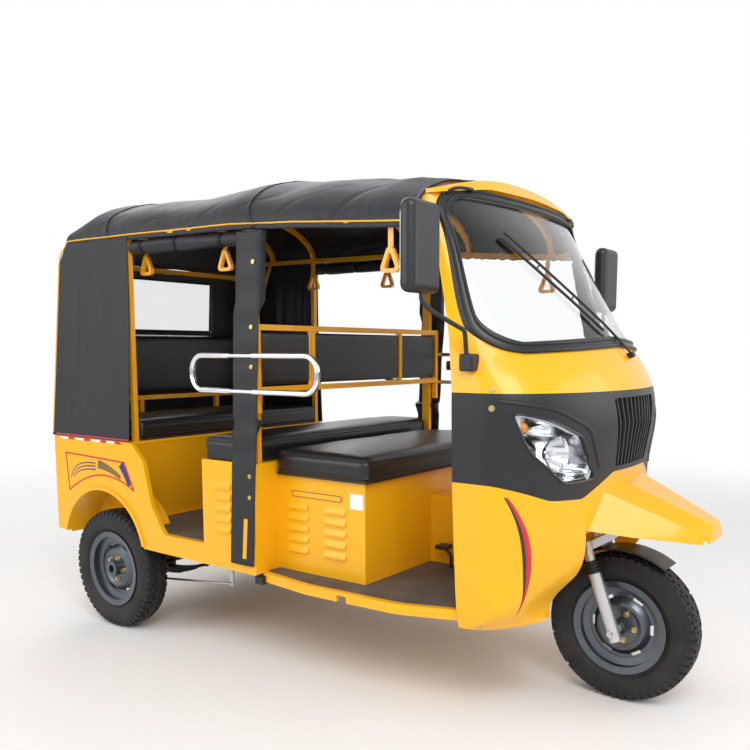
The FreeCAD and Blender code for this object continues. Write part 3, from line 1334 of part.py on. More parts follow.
NODES = {
    "front_tyre": lambda: tyre(FRONT_CENTRE),
    "front_rim": lambda: joined([rim(FRONT_CENTRE, -1, HUB_R - 12), front_hub()]),
    "rear_tyre_right": lambda: tyre(rear_centre(-1)),
    "rear_tyre_left": lambda: tyre(rear_centre(1)),
    "rear_rim_right": lambda: joined([rim(rear_centre(-1), -1, HUB_R - 4), rear_hub(-1)]),
    "rear_rim_left": lambda: joined([rim(rear_centre(1), 1, HUB_R - 4), rear_hub(1)]),
    "front_fork": front_fork,
    "fork_boots": fork_boots,
    "wheel_guard": wheel_guard,
    "handlebar": handlebar,
    "hand_grips": grips,
    "chassis_frame": chassis_frame,
    "leaf_springs": leaf_springs,
    "rear_axle": rear_axle,
    "engine_block": engine_block,
    "prop_shaft": prop_shaft,
    "exhaust": exhaust,
    "brake_rod": brake_rod,
    "body_side_left": body_side,
    "body_side_right": lambda: mirrored(body_side()),
    "rear_floor": rear_floor,
    "rear_panel": rear_panel,
    "tail_lamps": tail_lamps,
    "rear_bench": rear_bench,
    "rear_seat_lid": rear_lid_board,
    "rear_seat_cushion": rear_seat_cushion,
    "rear_backrest_frame": rear_backrest_frame,
    "rear_backrest": rear_backrest,
    "middle_seat_box": middle_seat_box,
    "middle_seat_cushion": middle_seat_cushion,
    "driver_seat_box": driver_seat_box,
    "driver_seat_lid": driver_lid_board,
    "driver_seat_cushion": driver_seat_cushion,
    "front_floor": front_floor,
    "floor_mats": floor_mats,
    "foot_pedal": foot_pedal,
    "backrest_frame": backrest_frame,
    "backrest_pads": backrest_pads,
    "side_guards": side_guards,
    "bulkhead": bulkhead,
    "lower_cowl": lower_cowl,
    "nose_panel": nose_panel,
    "grille": grille,
    "headlamps": headlamps,
    "headlamp_lenses": headlamp_lenses,
    "upper_cowl": upper_cowl,
    "windscreen_gasket": windscreen_gasket,
    "windscreen": windscreen,
    "wiper": wiper,
    "front_mudguard": front_mudguard,
    "mirrors": mirrors,
    "mirror_glass": mirror_glass,
}
CANOPY_NODES = {
    "canopy_frame": canopy_frame,
    "canopy_top": canopy_top,
    "canopy_rear": canopy_rear,
    "rear_window": rear_window,
    "side_curtains": lambda: Part.Compound([pillar_wraps(), side_curtains()]),
    "grab_handles": grab_handles,
}


def main():
    os.makedirs("parts", exist_ok=True)
    for node, make in {**NODES, **CANOPY_NODES}.items():
        shape = make()
        print(node, shape.isValid(), len(shape.Solids), round(shape.Volume / 1e6, 2))
        shape.exportStep("parts/" + node + ".step")


main()
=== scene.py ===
import math

import bmesh
import bpy
from mathutils import Matrix, Vector, noise
from mathutils.bvhtree import BVHTree


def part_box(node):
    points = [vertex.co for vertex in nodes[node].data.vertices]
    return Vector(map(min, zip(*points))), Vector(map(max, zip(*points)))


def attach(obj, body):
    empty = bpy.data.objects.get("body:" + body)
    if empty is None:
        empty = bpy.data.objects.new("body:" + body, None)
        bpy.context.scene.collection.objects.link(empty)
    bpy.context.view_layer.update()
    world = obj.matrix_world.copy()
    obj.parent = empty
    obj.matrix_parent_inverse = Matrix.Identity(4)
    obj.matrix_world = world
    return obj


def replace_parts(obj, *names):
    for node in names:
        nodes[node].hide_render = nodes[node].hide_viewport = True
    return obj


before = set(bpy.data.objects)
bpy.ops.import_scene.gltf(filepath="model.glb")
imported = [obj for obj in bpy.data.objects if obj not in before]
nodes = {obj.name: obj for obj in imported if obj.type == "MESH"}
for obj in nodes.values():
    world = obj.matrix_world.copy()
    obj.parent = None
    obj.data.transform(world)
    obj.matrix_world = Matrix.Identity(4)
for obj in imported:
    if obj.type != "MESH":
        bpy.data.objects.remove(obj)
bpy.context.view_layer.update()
scene = bpy.context.scene
scene.view_settings.view_transform = "Standard"


def add_node(tree, kind, operation=None, **values):
    """New shader node; values are for its inputs, with an underscore for each blank in their names."""
    node = tree.nodes.new("ShaderNode" + kind)
    if operation:
        node.operation = operation
    for socket, value in values.items():
        node.inputs[socket.replace("_", " ")].default_value = value
    return node


def wire(tree, *pairs):
    """Links shader sockets, given in pairs of output and input."""
    for out, into in pairs:
        tree.links.new(out, into)


# ---------------- studio
# Pale floor that runs out to white, a white surround, and broad soft lamps: one high over the
# right front quarter, one low fill from the front, one from behind and one along the right side.
white = bpy.data.worlds.new("studio")
scene.world = white
white.use_nodes = True
sky = white.node_tree
sky.nodes.clear()
seen_by = add_node(sky, "LightPath").outputs
shown = add_node(sky, "Math", "MAXIMUM")
shown_glass = add_node(sky, "Math", "MAXIMUM")
level = add_node(sky, "MapRange", To_Min=0.55, To_Max=1.0)
surround = add_node(sky, "Background", Color=(1.0, 1.0, 1.0, 1.0))
wire(sky,
     (seen_by["Is Camera Ray"], shown.inputs[0]),
     (seen_by["Is Glossy Ray"], shown.inputs[1]),
     (shown.outputs[0], shown_glass.inputs[0]),
     (seen_by["Is Transmission Ray"], shown_glass.inputs[1]),
     (shown_glass.outputs[0], level.inputs["Value"]),
     (level.outputs[0], surround.inputs["Strength"]),
     (surround.outputs[0], add_node(sky, "OutputWorld").inputs[0]))

FLOOR_SIZE = 60.0
floor_mesh = bpy.data.meshes.new("studio_floor")
floor_bm = bmesh.new()
bmesh.ops.create_grid(floor_bm, x_segments=1, y_segments=1, size=FLOOR_SIZE)
floor_bm.to_mesh(floor_mesh)
floor_bm.free()
floor = bpy.data.objects.new("studio_floor", floor_mesh)
scene.collection.objects.link(floor)
pale = bpy.data.materials.new("studio_floor")
pale.use_nodes = True
ground = pale.node_tree
ground.nodes.clear()
away = add_node(ground, "VectorMath", "LENGTH")
fade = add_node(ground, "MapRange", From_Min=2.2, From_Max=7.0)
fade.interpolation_type = "SMOOTHSTEP"
only_seen = add_node(ground, "Math", "MULTIPLY")
matt = add_node(ground, "BsdfDiffuse", Color=(0.93, 0.93, 0.93, 1.0))
mixed = add_node(ground, "MixShader")
wire(ground,
     (add_node(ground, "TexCoord").outputs["Object"], away.inputs[0]),
     (away.outputs["Value"], fade.inputs["Value"]),
     (fade.outputs[0], only_seen.inputs[0]),
     (add_node(ground, "LightPath").outputs["Is Camera Ray"], only_seen.inputs[1]),
     (only_seen.outputs[0], mixed.inputs[0]),
     (matt.outputs[0], mixed.inputs[1]),
     (add_node(ground, "Emission").outputs[0], mixed.inputs[2]),
     (mixed.outputs[0], add_node(ground, "OutputMaterial").inputs[0]))
floor_mesh.materials.append(pale)

LAMP_SIZE = 3.0
LAMPS_AIM = Vector((0, 0, 0.8))
for lamp_name, watts, spot in (
    ("key", 185.0, (3.4, -3.6, 4.4)),
    ("fill", 55.0, (4.6, 1.8, 2.2)),
    ("rim", 70.0, (-3.8, 2.6, 3.8)),
    ("near_side", 75.0, (-2.6, -4.6, 2.6)),
):
    lamp_data = bpy.data.lights.new(lamp_name, "AREA")
    lamp_data.energy = watts
    lamp_data.size = LAMP_SIZE
    lamp = bpy.data.objects.new(lamp_name, lamp_data)
    lamp.location = spot
    lamp.rotation_mode = "QUATERNION"
    lamp.rotation_quaternion = (LAMPS_AIM - Vector(spot)).to_track_quat("-Z", "Y")
    scene.collection.objects.link(lamp)

CAMERA_YAW = 0.6287
CAMERA_PITCH = 0.1193
camera_data = bpy.data.cameras.new("camera")
camera_data.sensor_width = 36.0
camera_data.lens = 39.33
camera_data.shift_x = -0.020
camera_data.shift_y = 0.098
camera = bpy.data.objects.new("camera", camera_data)
camera.location = (2.1609, -2.8642, 1.2728)
ahead = Vector((-math.sin(CAMERA_YAW) * math.cos(CAMERA_PITCH),
                math.cos(CAMERA_YAW) * math.cos(CAMERA_PITCH), -math.sin(CAMERA_PITCH)))
camera.rotation_mode = "QUATERNION"
camera.rotation_quaternion = ahead.to_track_quat("-Z", "Y")
scene.collection.objects.link(camera)
scene.camera = camera


# ---------------- finishes
# Every finish is one colour with a soft drift, a fine grain and, low on the vehicle, road dust.
def effect(name, sockets_in, sockets_out):
    """Starts a shader node group and returns it with its two end nodes."""
    made = bpy.data.node_groups.new(name, "ShaderNodeTree")
    for label, kind, value in sockets_in:
        socket = made.interface.new_socket(name=label, in_out="INPUT", socket_type=kind)
        socket.default_value = value
    for label, kind in sockets_out:
        made.interface.new_socket(name=label, in_out="OUTPUT", socket_type=kind)
    return made, made.nodes.new("NodeGroupInput"), made.nodes.new("NodeGroupOutput")


def math_node(tree, operation, first, second):
    node = add_node(tree, "Math", operation)
    for index, value in enumerate((first, second)):
        if isinstance(value, (int, float)):
            node.inputs[index].default_value = value
        else:
            tree.links.new(value, node.inputs[index])
    return node.outputs[0]


def noise_node(tree, scale, detail):
    node = add_node(tree, "TexNoise", Detail=detail)
    if isinstance(scale, (int, float)):
        node.inputs["Scale"].default_value = scale
    else:
        tree.links.new(scale, node.inputs["Scale"])
    tree.links.new(add_node(tree, "TexCoord").outputs["Object"], node.inputs["Vector"])
    return node.outputs["Fac"]


# Soft drift of a colour between lighter and darker patches.
drift_group, drift_in, drift_out = effect(
    "drift", (("Colour", "NodeSocketColor", (1, 1, 1, 1)), ("Amount", "NodeSocketFloat", 0.1),
              ("Scale", "NodeSocketFloat", 4.0)), (("Colour", "NodeSocketColor"),))
drift_level = math_node(drift_group, "SUBTRACT", noise_node(drift_group, drift_in.outputs["Scale"], 4.0), 0.5)
drift_level = math_node(drift_group, "MULTIPLY", drift_level, drift_in.outputs["Amount"])
drift_level = math_node(drift_group, "ADD", math_node(drift_group, "MULTIPLY", drift_level, 2.0), 1.0)
drift_scaled = add_node(drift_group, "VectorMath", "SCALE")
wire(drift_group,
     (drift_in.outputs["Colour"], drift_scaled.inputs[0]),
     (drift_level, drift_scaled.inputs["Scale"]),
     (drift_scaled.outputs[0], drift_out.inputs["Colour"]))

# Road dust that thins out with height above the ground.
dust_group, dust_in, dust_out = effect(
    "dust", (("Colour", "NodeSocketColor", (1, 1, 1, 1)), ("Roughness", "NodeSocketFloat", 0.4),
             ("Amount", "NodeSocketFloat", 0.2), ("Top", "NodeSocketFloat", 0.6)),
    (("Colour", "NodeSocketColor"), ("Roughness", "NodeSocketFloat")))
DUST_COLOUR = (0.36, 0.31, 0.25, 1.0)
DUST_ROUGHNESS = 0.85
dust_split = add_node(dust_group, "SeparateXYZ")
dust_low = add_node(dust_group, "MapRange", From_Min=1.0, From_Max=0.1)
dust_patch = add_node(dust_group, "MapRange", From_Min=0.35, From_Max=0.75)
dust_mix = add_node(dust_group, "Mix")
dust_mix.data_type = "RGBA"
mix_first, mix_second, mixed_colour = dust_mix.inputs[6], dust_mix.inputs[7], dust_mix.outputs[2]
mix_second.default_value = DUST_COLOUR
wire(dust_group,
     (add_node(dust_group, "TexCoord").outputs["Object"], dust_split.inputs[0]),
     (math_node(dust_group, "DIVIDE", dust_split.outputs["Z"], dust_in.outputs["Top"]), dust_low.inputs["Value"]),
     (noise_node(dust_group, 9.0, 6.0), dust_patch.inputs["Value"]))
dust_share = math_node(dust_group, "MULTIPLY", dust_low.outputs[0], dust_patch.outputs[0])
dust_share = math_node(dust_group, "MULTIPLY", dust_share, dust_in.outputs["Amount"])
dust_rough = math_node(dust_group, "SUBTRACT", DUST_ROUGHNESS, dust_in.outputs["Roughness"])
dust_rough = math_node(dust_group, "MULTIPLY", dust_rough, dust_share)
dust_rough = math_node(dust_group, "ADD", dust_rough, dust_in.outputs["Roughness"])
wire(dust_group,
     (dust_share, dust_mix.inputs["Factor"]),
     (dust_in.outputs["Colour"], mix_first),
     (mixed_colour, dust_out.inputs["Colour"]),
     (dust_rough, dust_out.inputs["Roughness"]))


def finish(name, colour, roughness, grain=(0.0, 0.0), drift=0.08, patches=5.0, dust=(0.0, 0.7), metallic=0.0,
           coat=0.0, shine=0.5, **plain):
    """Material of one finish: grain is its scale per metre and its depth in metres, drift and patches
    are the share and the scale of its uneven tone, and dust is its share and how high it reaches."""
    made = bpy.data.materials.new(name)
    made.use_nodes = True
    tree = made.node_tree
    shader = tree.nodes["Principled BSDF"]
    drifting = add_node(tree, "Group")
    drifting.node_tree = drift_group
    drifting.inputs["Colour"].default_value = (*colour, 1.0)
    drifting.inputs["Amount"].default_value = drift
    drifting.inputs["Scale"].default_value = patches
    colour_out = drifting.outputs["Colour"]
    shader.inputs["Roughness"].default_value = roughness
    dust_amount, dust_top = dust
    if dust_amount:
        dusty = add_node(tree, "Group")
        dusty.node_tree = dust_group
        dusty.inputs["Roughness"].default_value = roughness
        dusty.inputs["Amount"].default_value = dust_amount
        dusty.inputs["Top"].default_value = dust_top
        tree.links.new(colour_out, dusty.inputs["Colour"])
        colour_out = dusty.outputs["Colour"]
        tree.links.new(dusty.outputs["Roughness"], shader.inputs["Roughness"])
    tree.links.new(colour_out, shader.inputs["Base Color"])
    if grain[0]:
        bump = add_node(tree, "Bump", Distance=grain[1])
        tree.links.new(noise_node(tree, grain[0], 3.0), bump.inputs["Height"])
        tree.links.new(bump.outputs["Normal"], shader.inputs["Normal"])
    shader.inputs["Metallic"].default_value = metallic
    shader.inputs["Coat Weight"].default_value = coat
    shader.inputs["Specular IOR Level"].default_value = shine
    for socket, value in plain.items():
        shader.inputs[socket.replace("_", " ")].default_value = value
    return made


def dress(material, *names):
    """Gives CAD nodes their finish."""
    for name in names:
        nodes[name].data.materials.clear()
        nodes[name].data.materials.append(material)


def piece(name, bm, material, body="chassis", sharp=35.0):
    """Turns a bmesh in the row frame into a named piece that rides on a body."""
    mesh = bpy.data.meshes.new(name)
    bm.to_mesh(mesh)
    bm.free()
    mesh.polygons.foreach_set("use_smooth", [True] * len(mesh.polygons))
    mesh.set_sharp_from_angle(angle=math.radians(sharp))
    made = bpy.data.objects.new(name, mesh)
    scene.collection.objects.link(made)
    mesh.materials.append(material)
    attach(made, body)
    return made


def face_out(bm):
    bmesh.ops.recalc_face_normals(bm, faces=bm.faces)


def thicken(made, label, thickness, offset=-1.0):
    """Gives a sheet its thickness: offset is -1 to grow inward and 0 to grow to both sides."""
    shell = made.modifiers.new(label, "SOLIDIFY")
    shell.thickness = thickness
    shell.offset = offset


def join_rings(bm, rings, closed=False):
    """Quads between each ring of vertices and the next, and back to the first one if closed."""
    count = len(rings[0])
    for low, high in zip(rings, rings[1:] + (rings[:1] if closed else [])):
        for k in range(count):
            bm.faces.new((low[k], low[(k + 1) % count], high[(k + 1) % count], high[k]))


def join_rows(bm, rows):
    """Quads between each row of vertices and the next."""
    for low, high in zip(rows, rows[1:]):
        for k in range(len(low) - 1):
            bm.faces.new((low[k], low[k + 1], high[k + 1], high[k]))


def quadratic(t, start, bend, end):
    return (1 - t) ** 2 * start + 2 * t * (1 - t) * bend + t * t * end


SIDES = ((-1, "right"), (1, "left"))

# ---------------- tyres
# Bias-ply 4.50-12 tyres of black rubber on all three wheels, with blocks moulded along both
# shoulders, two block rows beside a plain centre rib, and a rim guard on each wall.
TYRE_RADIUS = 0.2725
TREAD_DEPTH = 0.006
TYRE_STEPS = 156
BLOCKS_FROM = 0.240
WALL_BLOCKS_TO = 0.250
WALL_BLOCK_LIFT = 0.0012
SHOULDER_TO = 0.260
SHOULDER_SPREAD = 0.0028
# rows of blocks, as distance from the middle plane
SHOULDER_ROW = 0.0415
OUTER_ROW = (0.0265, 0.0385)
INNER_ROW = (0.0125, 0.0235)
CENTRE_RIB = 0.0095
FRONT_AXLE = Vector((1.14, 0.0, TYRE_RADIUS))
REAR_AXLE_RIGHT = Vector((-1.044, -0.584, TYRE_RADIUS))
REAR_AXLE_LEFT = Vector((-1.044, 0.584, TYRE_RADIUS))
tyre_rubber = finish("tyre_rubber", (0.011, 0.011, 0.012), 0.6, (420.0, 0.0004), drift=0.25,
                     patches=16.0, dust=(0.06, 0.62), shine=0.35)
# half of the wall and tread, as radius and distance from the middle plane
tyre_wall = ((0.1725, 0.0435), (0.181, 0.0465), (0.186, 0.053), (0.192, 0.0565), (0.1955, 0.0575), (0.197, 0.0565),
             (0.206, 0.0585), (0.218, 0.0596), (0.230, 0.0588), (0.238, 0.0572))
tread_half = ((0.2465, 0.0545), (0.2565, 0.0505), (0.2625, 0.0415), (0.2642, 0.0385), (0.2658, 0.0265),
              (0.2660, 0.0235), (0.2665, 0.0125), (0.2665, 0.0095))


def tyre(name, centre, body, node):
    bm = bmesh.new()
    half = tyre_wall + tread_half
    profile = [(radius, -side) for radius, side in half] + [(radius, side) for radius, side in reversed(half)]
    ring = [bm.verts.new((0.0, side, radius)) for radius, side in profile]
    edges = [bm.edges.new(pair) for pair in zip(ring, ring[1:])]
    bmesh.ops.spin(bm, geom=ring + edges, cent=(0, 0, 0), axis=(0, 1, 0), angle=math.tau, steps=TYRE_STEPS,
                   use_merge=True)
    face_out(bm)
    raised = []
    for face in bm.faces:
        middle = face.calc_center_median()
        step = int((math.atan2(middle.x, middle.z) / math.tau + 1.0) * TYRE_STEPS + 0.01)
        side = abs(middle.y)
        shift = 0 if middle.y > 0 else 1
        block = (side > SHOULDER_ROW and (step + shift) % 3 != 0
                 or OUTER_ROW[0] < side < OUTER_ROW[1] and (step + shift * 2) % 4 != 0
                 or INNER_ROW[0] < side < INNER_ROW[1] and (step + shift * 2 + 2) % 4 != 0
                 or side < CENTRE_RIB)
        if block and math.hypot(middle.x, middle.z) >= BLOCKS_FROM:
            raised.append(face)
    grown = bmesh.ops.extrude_face_region(bm, geom=raised)["geom"]
    bmesh.ops.delete(bm, geom=raised, context="FACES_ONLY")
    for vert in {v for v in grown if isinstance(v, bmesh.types.BMVert)}:
        radius = math.hypot(vert.co.x, vert.co.z)
        outward = Vector((vert.co.x / radius, 0.0, vert.co.z / radius))
        lift = TREAD_DEPTH if radius > WALL_BLOCKS_TO else WALL_BLOCK_LIFT
        vert.co += outward * min(lift, TYRE_RADIUS - 0.0003 - radius)
        if radius < SHOULDER_TO:
            vert.co.y += SHOULDER_SPREAD * (1 if vert.co.y > 0 else -1) * (0.5 if radius < WALL_BLOCKS_TO else 1.0)
    face_out(bm)
    bmesh.ops.translate(bm, vec=centre, verts=bm.verts)
    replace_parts(piece(name, bm, tyre_rubber, body, sharp=32.0), node)


tyre("tyre_front", FRONT_AXLE, "front_wheel", "front_tyre")
tyre("tyre_rear_right", REAR_AXLE_RIGHT, "rear_wheel_right", "rear_tyre_right")
tyre("tyre_rear_left", REAR_AXLE_LEFT, "rear_wheel_left", "rear_tyre_left")

# ---------------- wheels
# Pressed steel discs and rims in satin black, each held by five zinc-plated nuts round its hub.
dress(finish("wheel_black", (0.10, 0.115, 0.135), 0.30, (90.0, 0.0002), drift=0.16, dust=(0.10, 0.55), metallic=0.85,
             coat=0.3), "front_rim", "rear_rim_right", "rear_rim_left")
nut_zinc = finish("nut_zinc", (0.62, 0.48, 0.22), 0.32, (300.0, 0.0001), drift=0.2, patches=40.0, metallic=1.0)
NUT_CIRCLE = 0.051
NUT_COUNT = 5
NUT_STAND = 0.028


def bolt_head(bm, spot, axis, radius, height, sides=6):
    """Hexagon or round head with its washer, standing on spot and pointing along axis."""
    turn = Vector(axis).to_track_quat("Z", "Y").to_matrix().to_4x4()
    washer = (height * 0.1, radius * 1.35, height * 0.2, 20)
    head = (height * 0.6, radius, height * 0.8, sides)
    for lift, r, depth, count in (washer, head):
        bmesh.ops.create_cone(bm, cap_ends=True, segments=count, radius1=r, radius2=r * 0.94, depth=depth,
                              matrix=Matrix.Translation(Vector(spot)) @ turn @ Matrix.Translation((0, 0, lift)))


def wheel_nuts(name, centre, outside, body):
    bm = bmesh.new()
    for index in range(NUT_COUNT):
        angle = math.tau * index / NUT_COUNT + 0.4
        spot = centre + Vector((math.sin(angle) * NUT_CIRCLE, outside * NUT_STAND, math.cos(angle) * NUT_CIRCLE))
        bolt_head(bm, spot, (0, outside, 0), 0.0085, 0.011)
    piece(name, bm, nut_zinc, body)


wheel_nuts("wheel_nuts_front", FRONT_AXLE, -1, "front_wheel")
wheel_nuts("wheel_nuts_rear_right", REAR_AXLE_RIGHT, -1, "rear_wheel_right")
wheel_nuts("wheel_nuts_rear_left", REAR_AXLE_LEFT, 1, "rear_wheel_left")

# ---------------- fork, bars and running gear
# Telescopic fork with painted alloy lower legs, rubber boots, and the black steel parts below.
dress(finish("fork_silver", (0.60, 0.60, 0.62), 0.33, (160.0, 0.0002), drift=0.1, dust=(0.2, 0.6), metallic=0.75),
      "front_fork")
dress(finish("moulded_rubber", (0.010, 0.010, 0.011), 0.5, (350.0, 0.0003), drift=0.2, shine=0.4), "fork_boots",
      "hand_grips")
dress(finish("black_plastic", (0.018, 0.019, 0.022), 0.36, (520.0, 0.0002), drift=0.1, dust=(0.04, 1.2), shine=0.4),
      "wheel_guard", "wiper", "mirrors", "foot_pedal")
dress(finish("bar_black", (0.009, 0.009, 0.010), 0.25, (120.0, 0.0001), coat=0.3), "handlebar")
dress(finish("chassis_black", (0.011, 0.011, 0.012), 0.42, (70.0, 0.0004), drift=0.25, dust=(0.12, 0.6), shine=0.4),
      "chassis_frame", "leaf_springs", "rear_axle", "prop_shaft")
dress(finish("cast_alloy", (0.36, 0.37, 0.38), 0.5, (260.0, 0.0008), drift=0.2, dust=(0.4, 0.8), metallic=0.8),
      "engine_block")
dress(finish("hot_steel", (0.26, 0.24, 0.22), 0.45, (90.0, 0.0005), drift=0.4, patches=12.0, dust=(0.3, 0.6),
             metallic=0.9), "exhaust")
dress(finish("zinc_rod", (0.55, 0.55, 0.56), 0.4, (200.0, 0.0002), drift=0.2, metallic=1.0), "brake_rod")

# ---------------- yellow body
# Pressed steel sides, floors, boxes and cab sprayed one golden yellow under clear lacquer, with
# stuck-on stripes over the wheel arch and a red and white reflector strip along the top edge.
yellow_paint = finish("yellow_paint", (0.92, 0.455, 0.006), 0.32, (700.0, 0.00003), drift=0.03,
                      patches=1.6, dust=(0.05, 0.55), coat=0.35, shine=0.3, Coat_Roughness=0.08)
dress(yellow_paint, "body_side_left", "body_side_right", "rear_floor", "rear_panel", "rear_bench", "middle_seat_box",
      "driver_seat_box", "front_floor", "bulkhead", "lower_cowl", "upper_cowl", "front_mudguard")
dress(finish("tube_yellow", (0.80, 0.36, 0.008), 0.34, (300.0, 0.0001), drift=0.06, coat=0.25, shine=0.3),
      "rear_backrest_frame", "backrest_frame", "canopy_frame")
dress(finish("lamp_red", (0.55, 0.015, 0.012), 0.2, (240.0, 0.0004), coat=0.8), "tail_lamps")
dress(finish("rubber_mat", (0.075, 0.063, 0.056), 0.7, (500.0, 0.0008), drift=0.25, patches=7.0, dust=(0.3, 0.9)),
      "floor_mats")
stripe_red = finish("stripe_red", (0.62, 0.012, 0.018), 0.3, drift=0.05, coat=0.3)
stripe_navy = finish("stripe_navy", (0.020, 0.018, 0.20), 0.3, drift=0.05, coat=0.3)
stripe_bronze = finish("stripe_bronze", (0.20, 0.11, 0.035), 0.35, (260.0, 0.0002), drift=0.3, patches=60.0, coat=0.3)
stripe_black = finish("stripe_black", (0.012, 0.012, 0.014), 0.3, drift=0.05, coat=0.3)
reflector_white = finish("reflector_white", (0.80, 0.81, 0.82), 0.25, (700.0, 0.0003), drift=0.08)
BODY_SIDE_Y = 0.6421
STICKER = 0.0008


def flat_sticker(name, outline, material, side, depth=STICKER, level=BODY_SIDE_Y):
    """Sticker on an upright side: outline in x and z, side is -1 on the right and 1 on the left."""
    bm = bmesh.new()
    face = bm.faces.new([bm.verts.new((x, side * level, z)) for x, z in outline])
    grown = bmesh.ops.extrude_face_region(bm, geom=[face])["geom"]
    bmesh.ops.translate(bm, vec=(0, side * depth, 0), verts=[v for v in grown if isinstance(v, bmesh.types.BMVert)])
    bmesh.ops.triangulate(bm, faces=[f for f in bm.faces if len(f.verts) > 4])
    face_out(bm)
    piece(name, bm, material)


def swept(start, bend, end, width_from, width_to, steps=14):
    """Outline of a curved stripe that tapers along a quadratic curve from start past bend to end."""
    upper, lower = [], []
    for index in range(steps + 1):
        t = index / steps
        x, z = (quadratic(t, a, b, c) for a, b, c in zip(start, bend, end))
        run_x, run_z = (2 * (1 - t) * (b - a) + 2 * t * (c - b) for a, b, c in zip(start, bend, end))
        length = math.hypot(run_x, run_z)
        half = (width_from + (width_to - width_from) * t) / 2
        upper.append((x - run_z / length * half, z + run_x / length * half))
        lower.append((x + run_z / length * half, z - run_x / length * half))
    return upper + lower[::-1]


# start, bend and end of each stripe, its width at both ends and its finish
STRIPES = (
    ("edge_top", (-1.361, 0.791), (-1.140, 0.786), (-0.915, 0.776), 0.007, 0.007, stripe_red),
    ("edge_front", (-0.917, 0.780), (-0.885, 0.720), (-0.853, 0.655), 0.007, 0.010, stripe_red),
    ("edge_arch", (-0.856, 0.657), (-1.090, 0.775), (-1.341, 0.615), 0.007, 0.007, stripe_red),
    ("edge_rear", (-1.359, 0.794), (-1.352, 0.705), (-1.341, 0.612), 0.007, 0.007, stripe_red),
    ("navy", (-0.940, 0.768), (-0.905, 0.725), (-0.882, 0.676), 0.036, 0.024, stripe_navy),
    ("bronze", (-1.110, 0.756), (-1.010, 0.742), (-0.945, 0.705), 0.040, 0.016, stripe_bronze),
)
ARC_DROPS = (0.0, 0.016, 0.032)
REFLECTOR_STARTS = (-1.395, -1.270, -1.145, -1.040)
REFLECTOR_LOW, REFLECTOR_HIGH = 0.857, 0.868
REFLECTOR_DEPTH = 0.0016
for side, label in SIDES:
    for name, start, bend, end, width_from, width_to, material in STRIPES:
        flat_sticker("stripe_{}_{}".format(name, label), swept(start, bend, end, width_from, width_to),
                     material, side)
    for row, drop in enumerate(ARC_DROPS):
        flat_sticker("stripe_arc_{}_{}".format(row, label),
                     swept((-1.325 + drop, 0.674 + drop * 0.3), (-1.300 + drop, 0.765 - drop * 1.2),
                           (-1.130, 0.757 - drop * 0.9), 0.003, 0.006), stripe_navy, side)
    for index, x0 in enumerate(REFLECTOR_STARTS):
        for tone, material, rear, front in (("white", reflector_white, x0, x0 + 0.062),
                                            ("red", stripe_red, x0 + 0.062, x0 + 0.103)):
            flat_sticker("reflector_{}_{}_{}".format(tone, index, label),
                         ((rear, REFLECTOR_LOW), (front, REFLECTOR_LOW), (front, REFLECTOR_HIGH),
                          (rear, REFLECTOR_HIGH)), material, side, depth=REFLECTOR_DEPTH)

# ---------------- cab front
# Grained black panel with the grille, two clear lamps, rubber-hung laminated screen, wiper and mirrors.
panel_black = finish("panel_black", (0.020, 0.021, 0.024), 0.40, (650.0, 0.0003), drift=0.06, shine=0.35)
dress(panel_black, "nose_panel")
dress(finish("grille_black", (0.010, 0.010, 0.011), 0.35, (500.0, 0.0002), shine=0.35), "grille")
lamp_chrome = finish("lamp_chrome", (0.82, 0.83, 0.85), 0.12, (40.0, 0.0006), drift=0.03, metallic=1.0)
dress(lamp_chrome, "headlamps")
dress(finish("clear_lens", (0.97, 0.98, 0.99), 0.02, drift=0.0, Transmission_Weight=1.0, IOR=1.2), "headlamp_lenses")
screen_rubber = finish("screen_rubber", (0.012, 0.013, 0.015), 0.36, (240.0, 0.0003), drift=0.1, shine=0.4)
dress(screen_rubber, "windscreen_gasket")
dress(finish("screen_glass", (0.94, 0.97, 0.96), 0.0, drift=0.0, Transmission_Weight=1.0, IOR=1.3), "windscreen")
dress(finish("mirror_silver", (0.88, 0.89, 0.91), 0.02, drift=0.0, metallic=1.0), "mirror_glass")

# bare plaque and label on the right side of the driver's box: x, z and y of the face they stand on
PLAQUE_CORNER = 0.006
label_white = finish("label_white", (0.82, 0.83, 0.84), 0.5, (300.0, 0.0001), drift=0.05)
for name, material, x0, x1, z0, z1, face_y, depth in (
    ("box_plaque_edge", stripe_bronze, -0.025, 0.233, 0.7030, 0.7280, -0.5176, 0.0005),
    ("box_plaque", yellow_paint, -0.021, 0.229, 0.7065, 0.7245, -0.5176, 0.0010),
    ("box_label", label_white, 0.268, 0.330, 0.684, 0.742, -0.5151, 0.0006),
):
    bm = bmesh.new()
    bmesh.ops.create_cube(bm, size=1.0)
    bmesh.ops.transform(bm, matrix=Matrix.Translation(((x0 + x1) / 2, face_y - depth / 2, (z0 + z1) / 2))
                        @ Matrix.Diagonal((x1 - x0, depth, z1 - z0, 1.0)), verts=bm.verts)
    if "plaque" in name:
        upright = [edge for edge in bm.edges if abs(edge.verts[0].co.y - edge.verts[1].co.y) > depth / 2]
        bmesh.ops.bevel(bm, geom=upright, offset=PLAQUE_CORNER, segments=5, affect="EDGES")
    piece(name, bm, material)


def skin_of(*made):
    """Search tree over the surface of objects."""
    bm = bmesh.new()
    for one in made:
        bm.from_mesh(one.data)
    tree = BVHTree.FromBMesh(bm)
    bm.free()
    return tree


def onto_front(tree, y, z, lift):
    """Point of a skin seen from ahead at y and z, stood off by lift."""
    spot, normal, _, _ = tree.ray_cast(Vector((2.0, y, z)), Vector((-1, 0, 0)))
    return spot + normal * lift if spot else None


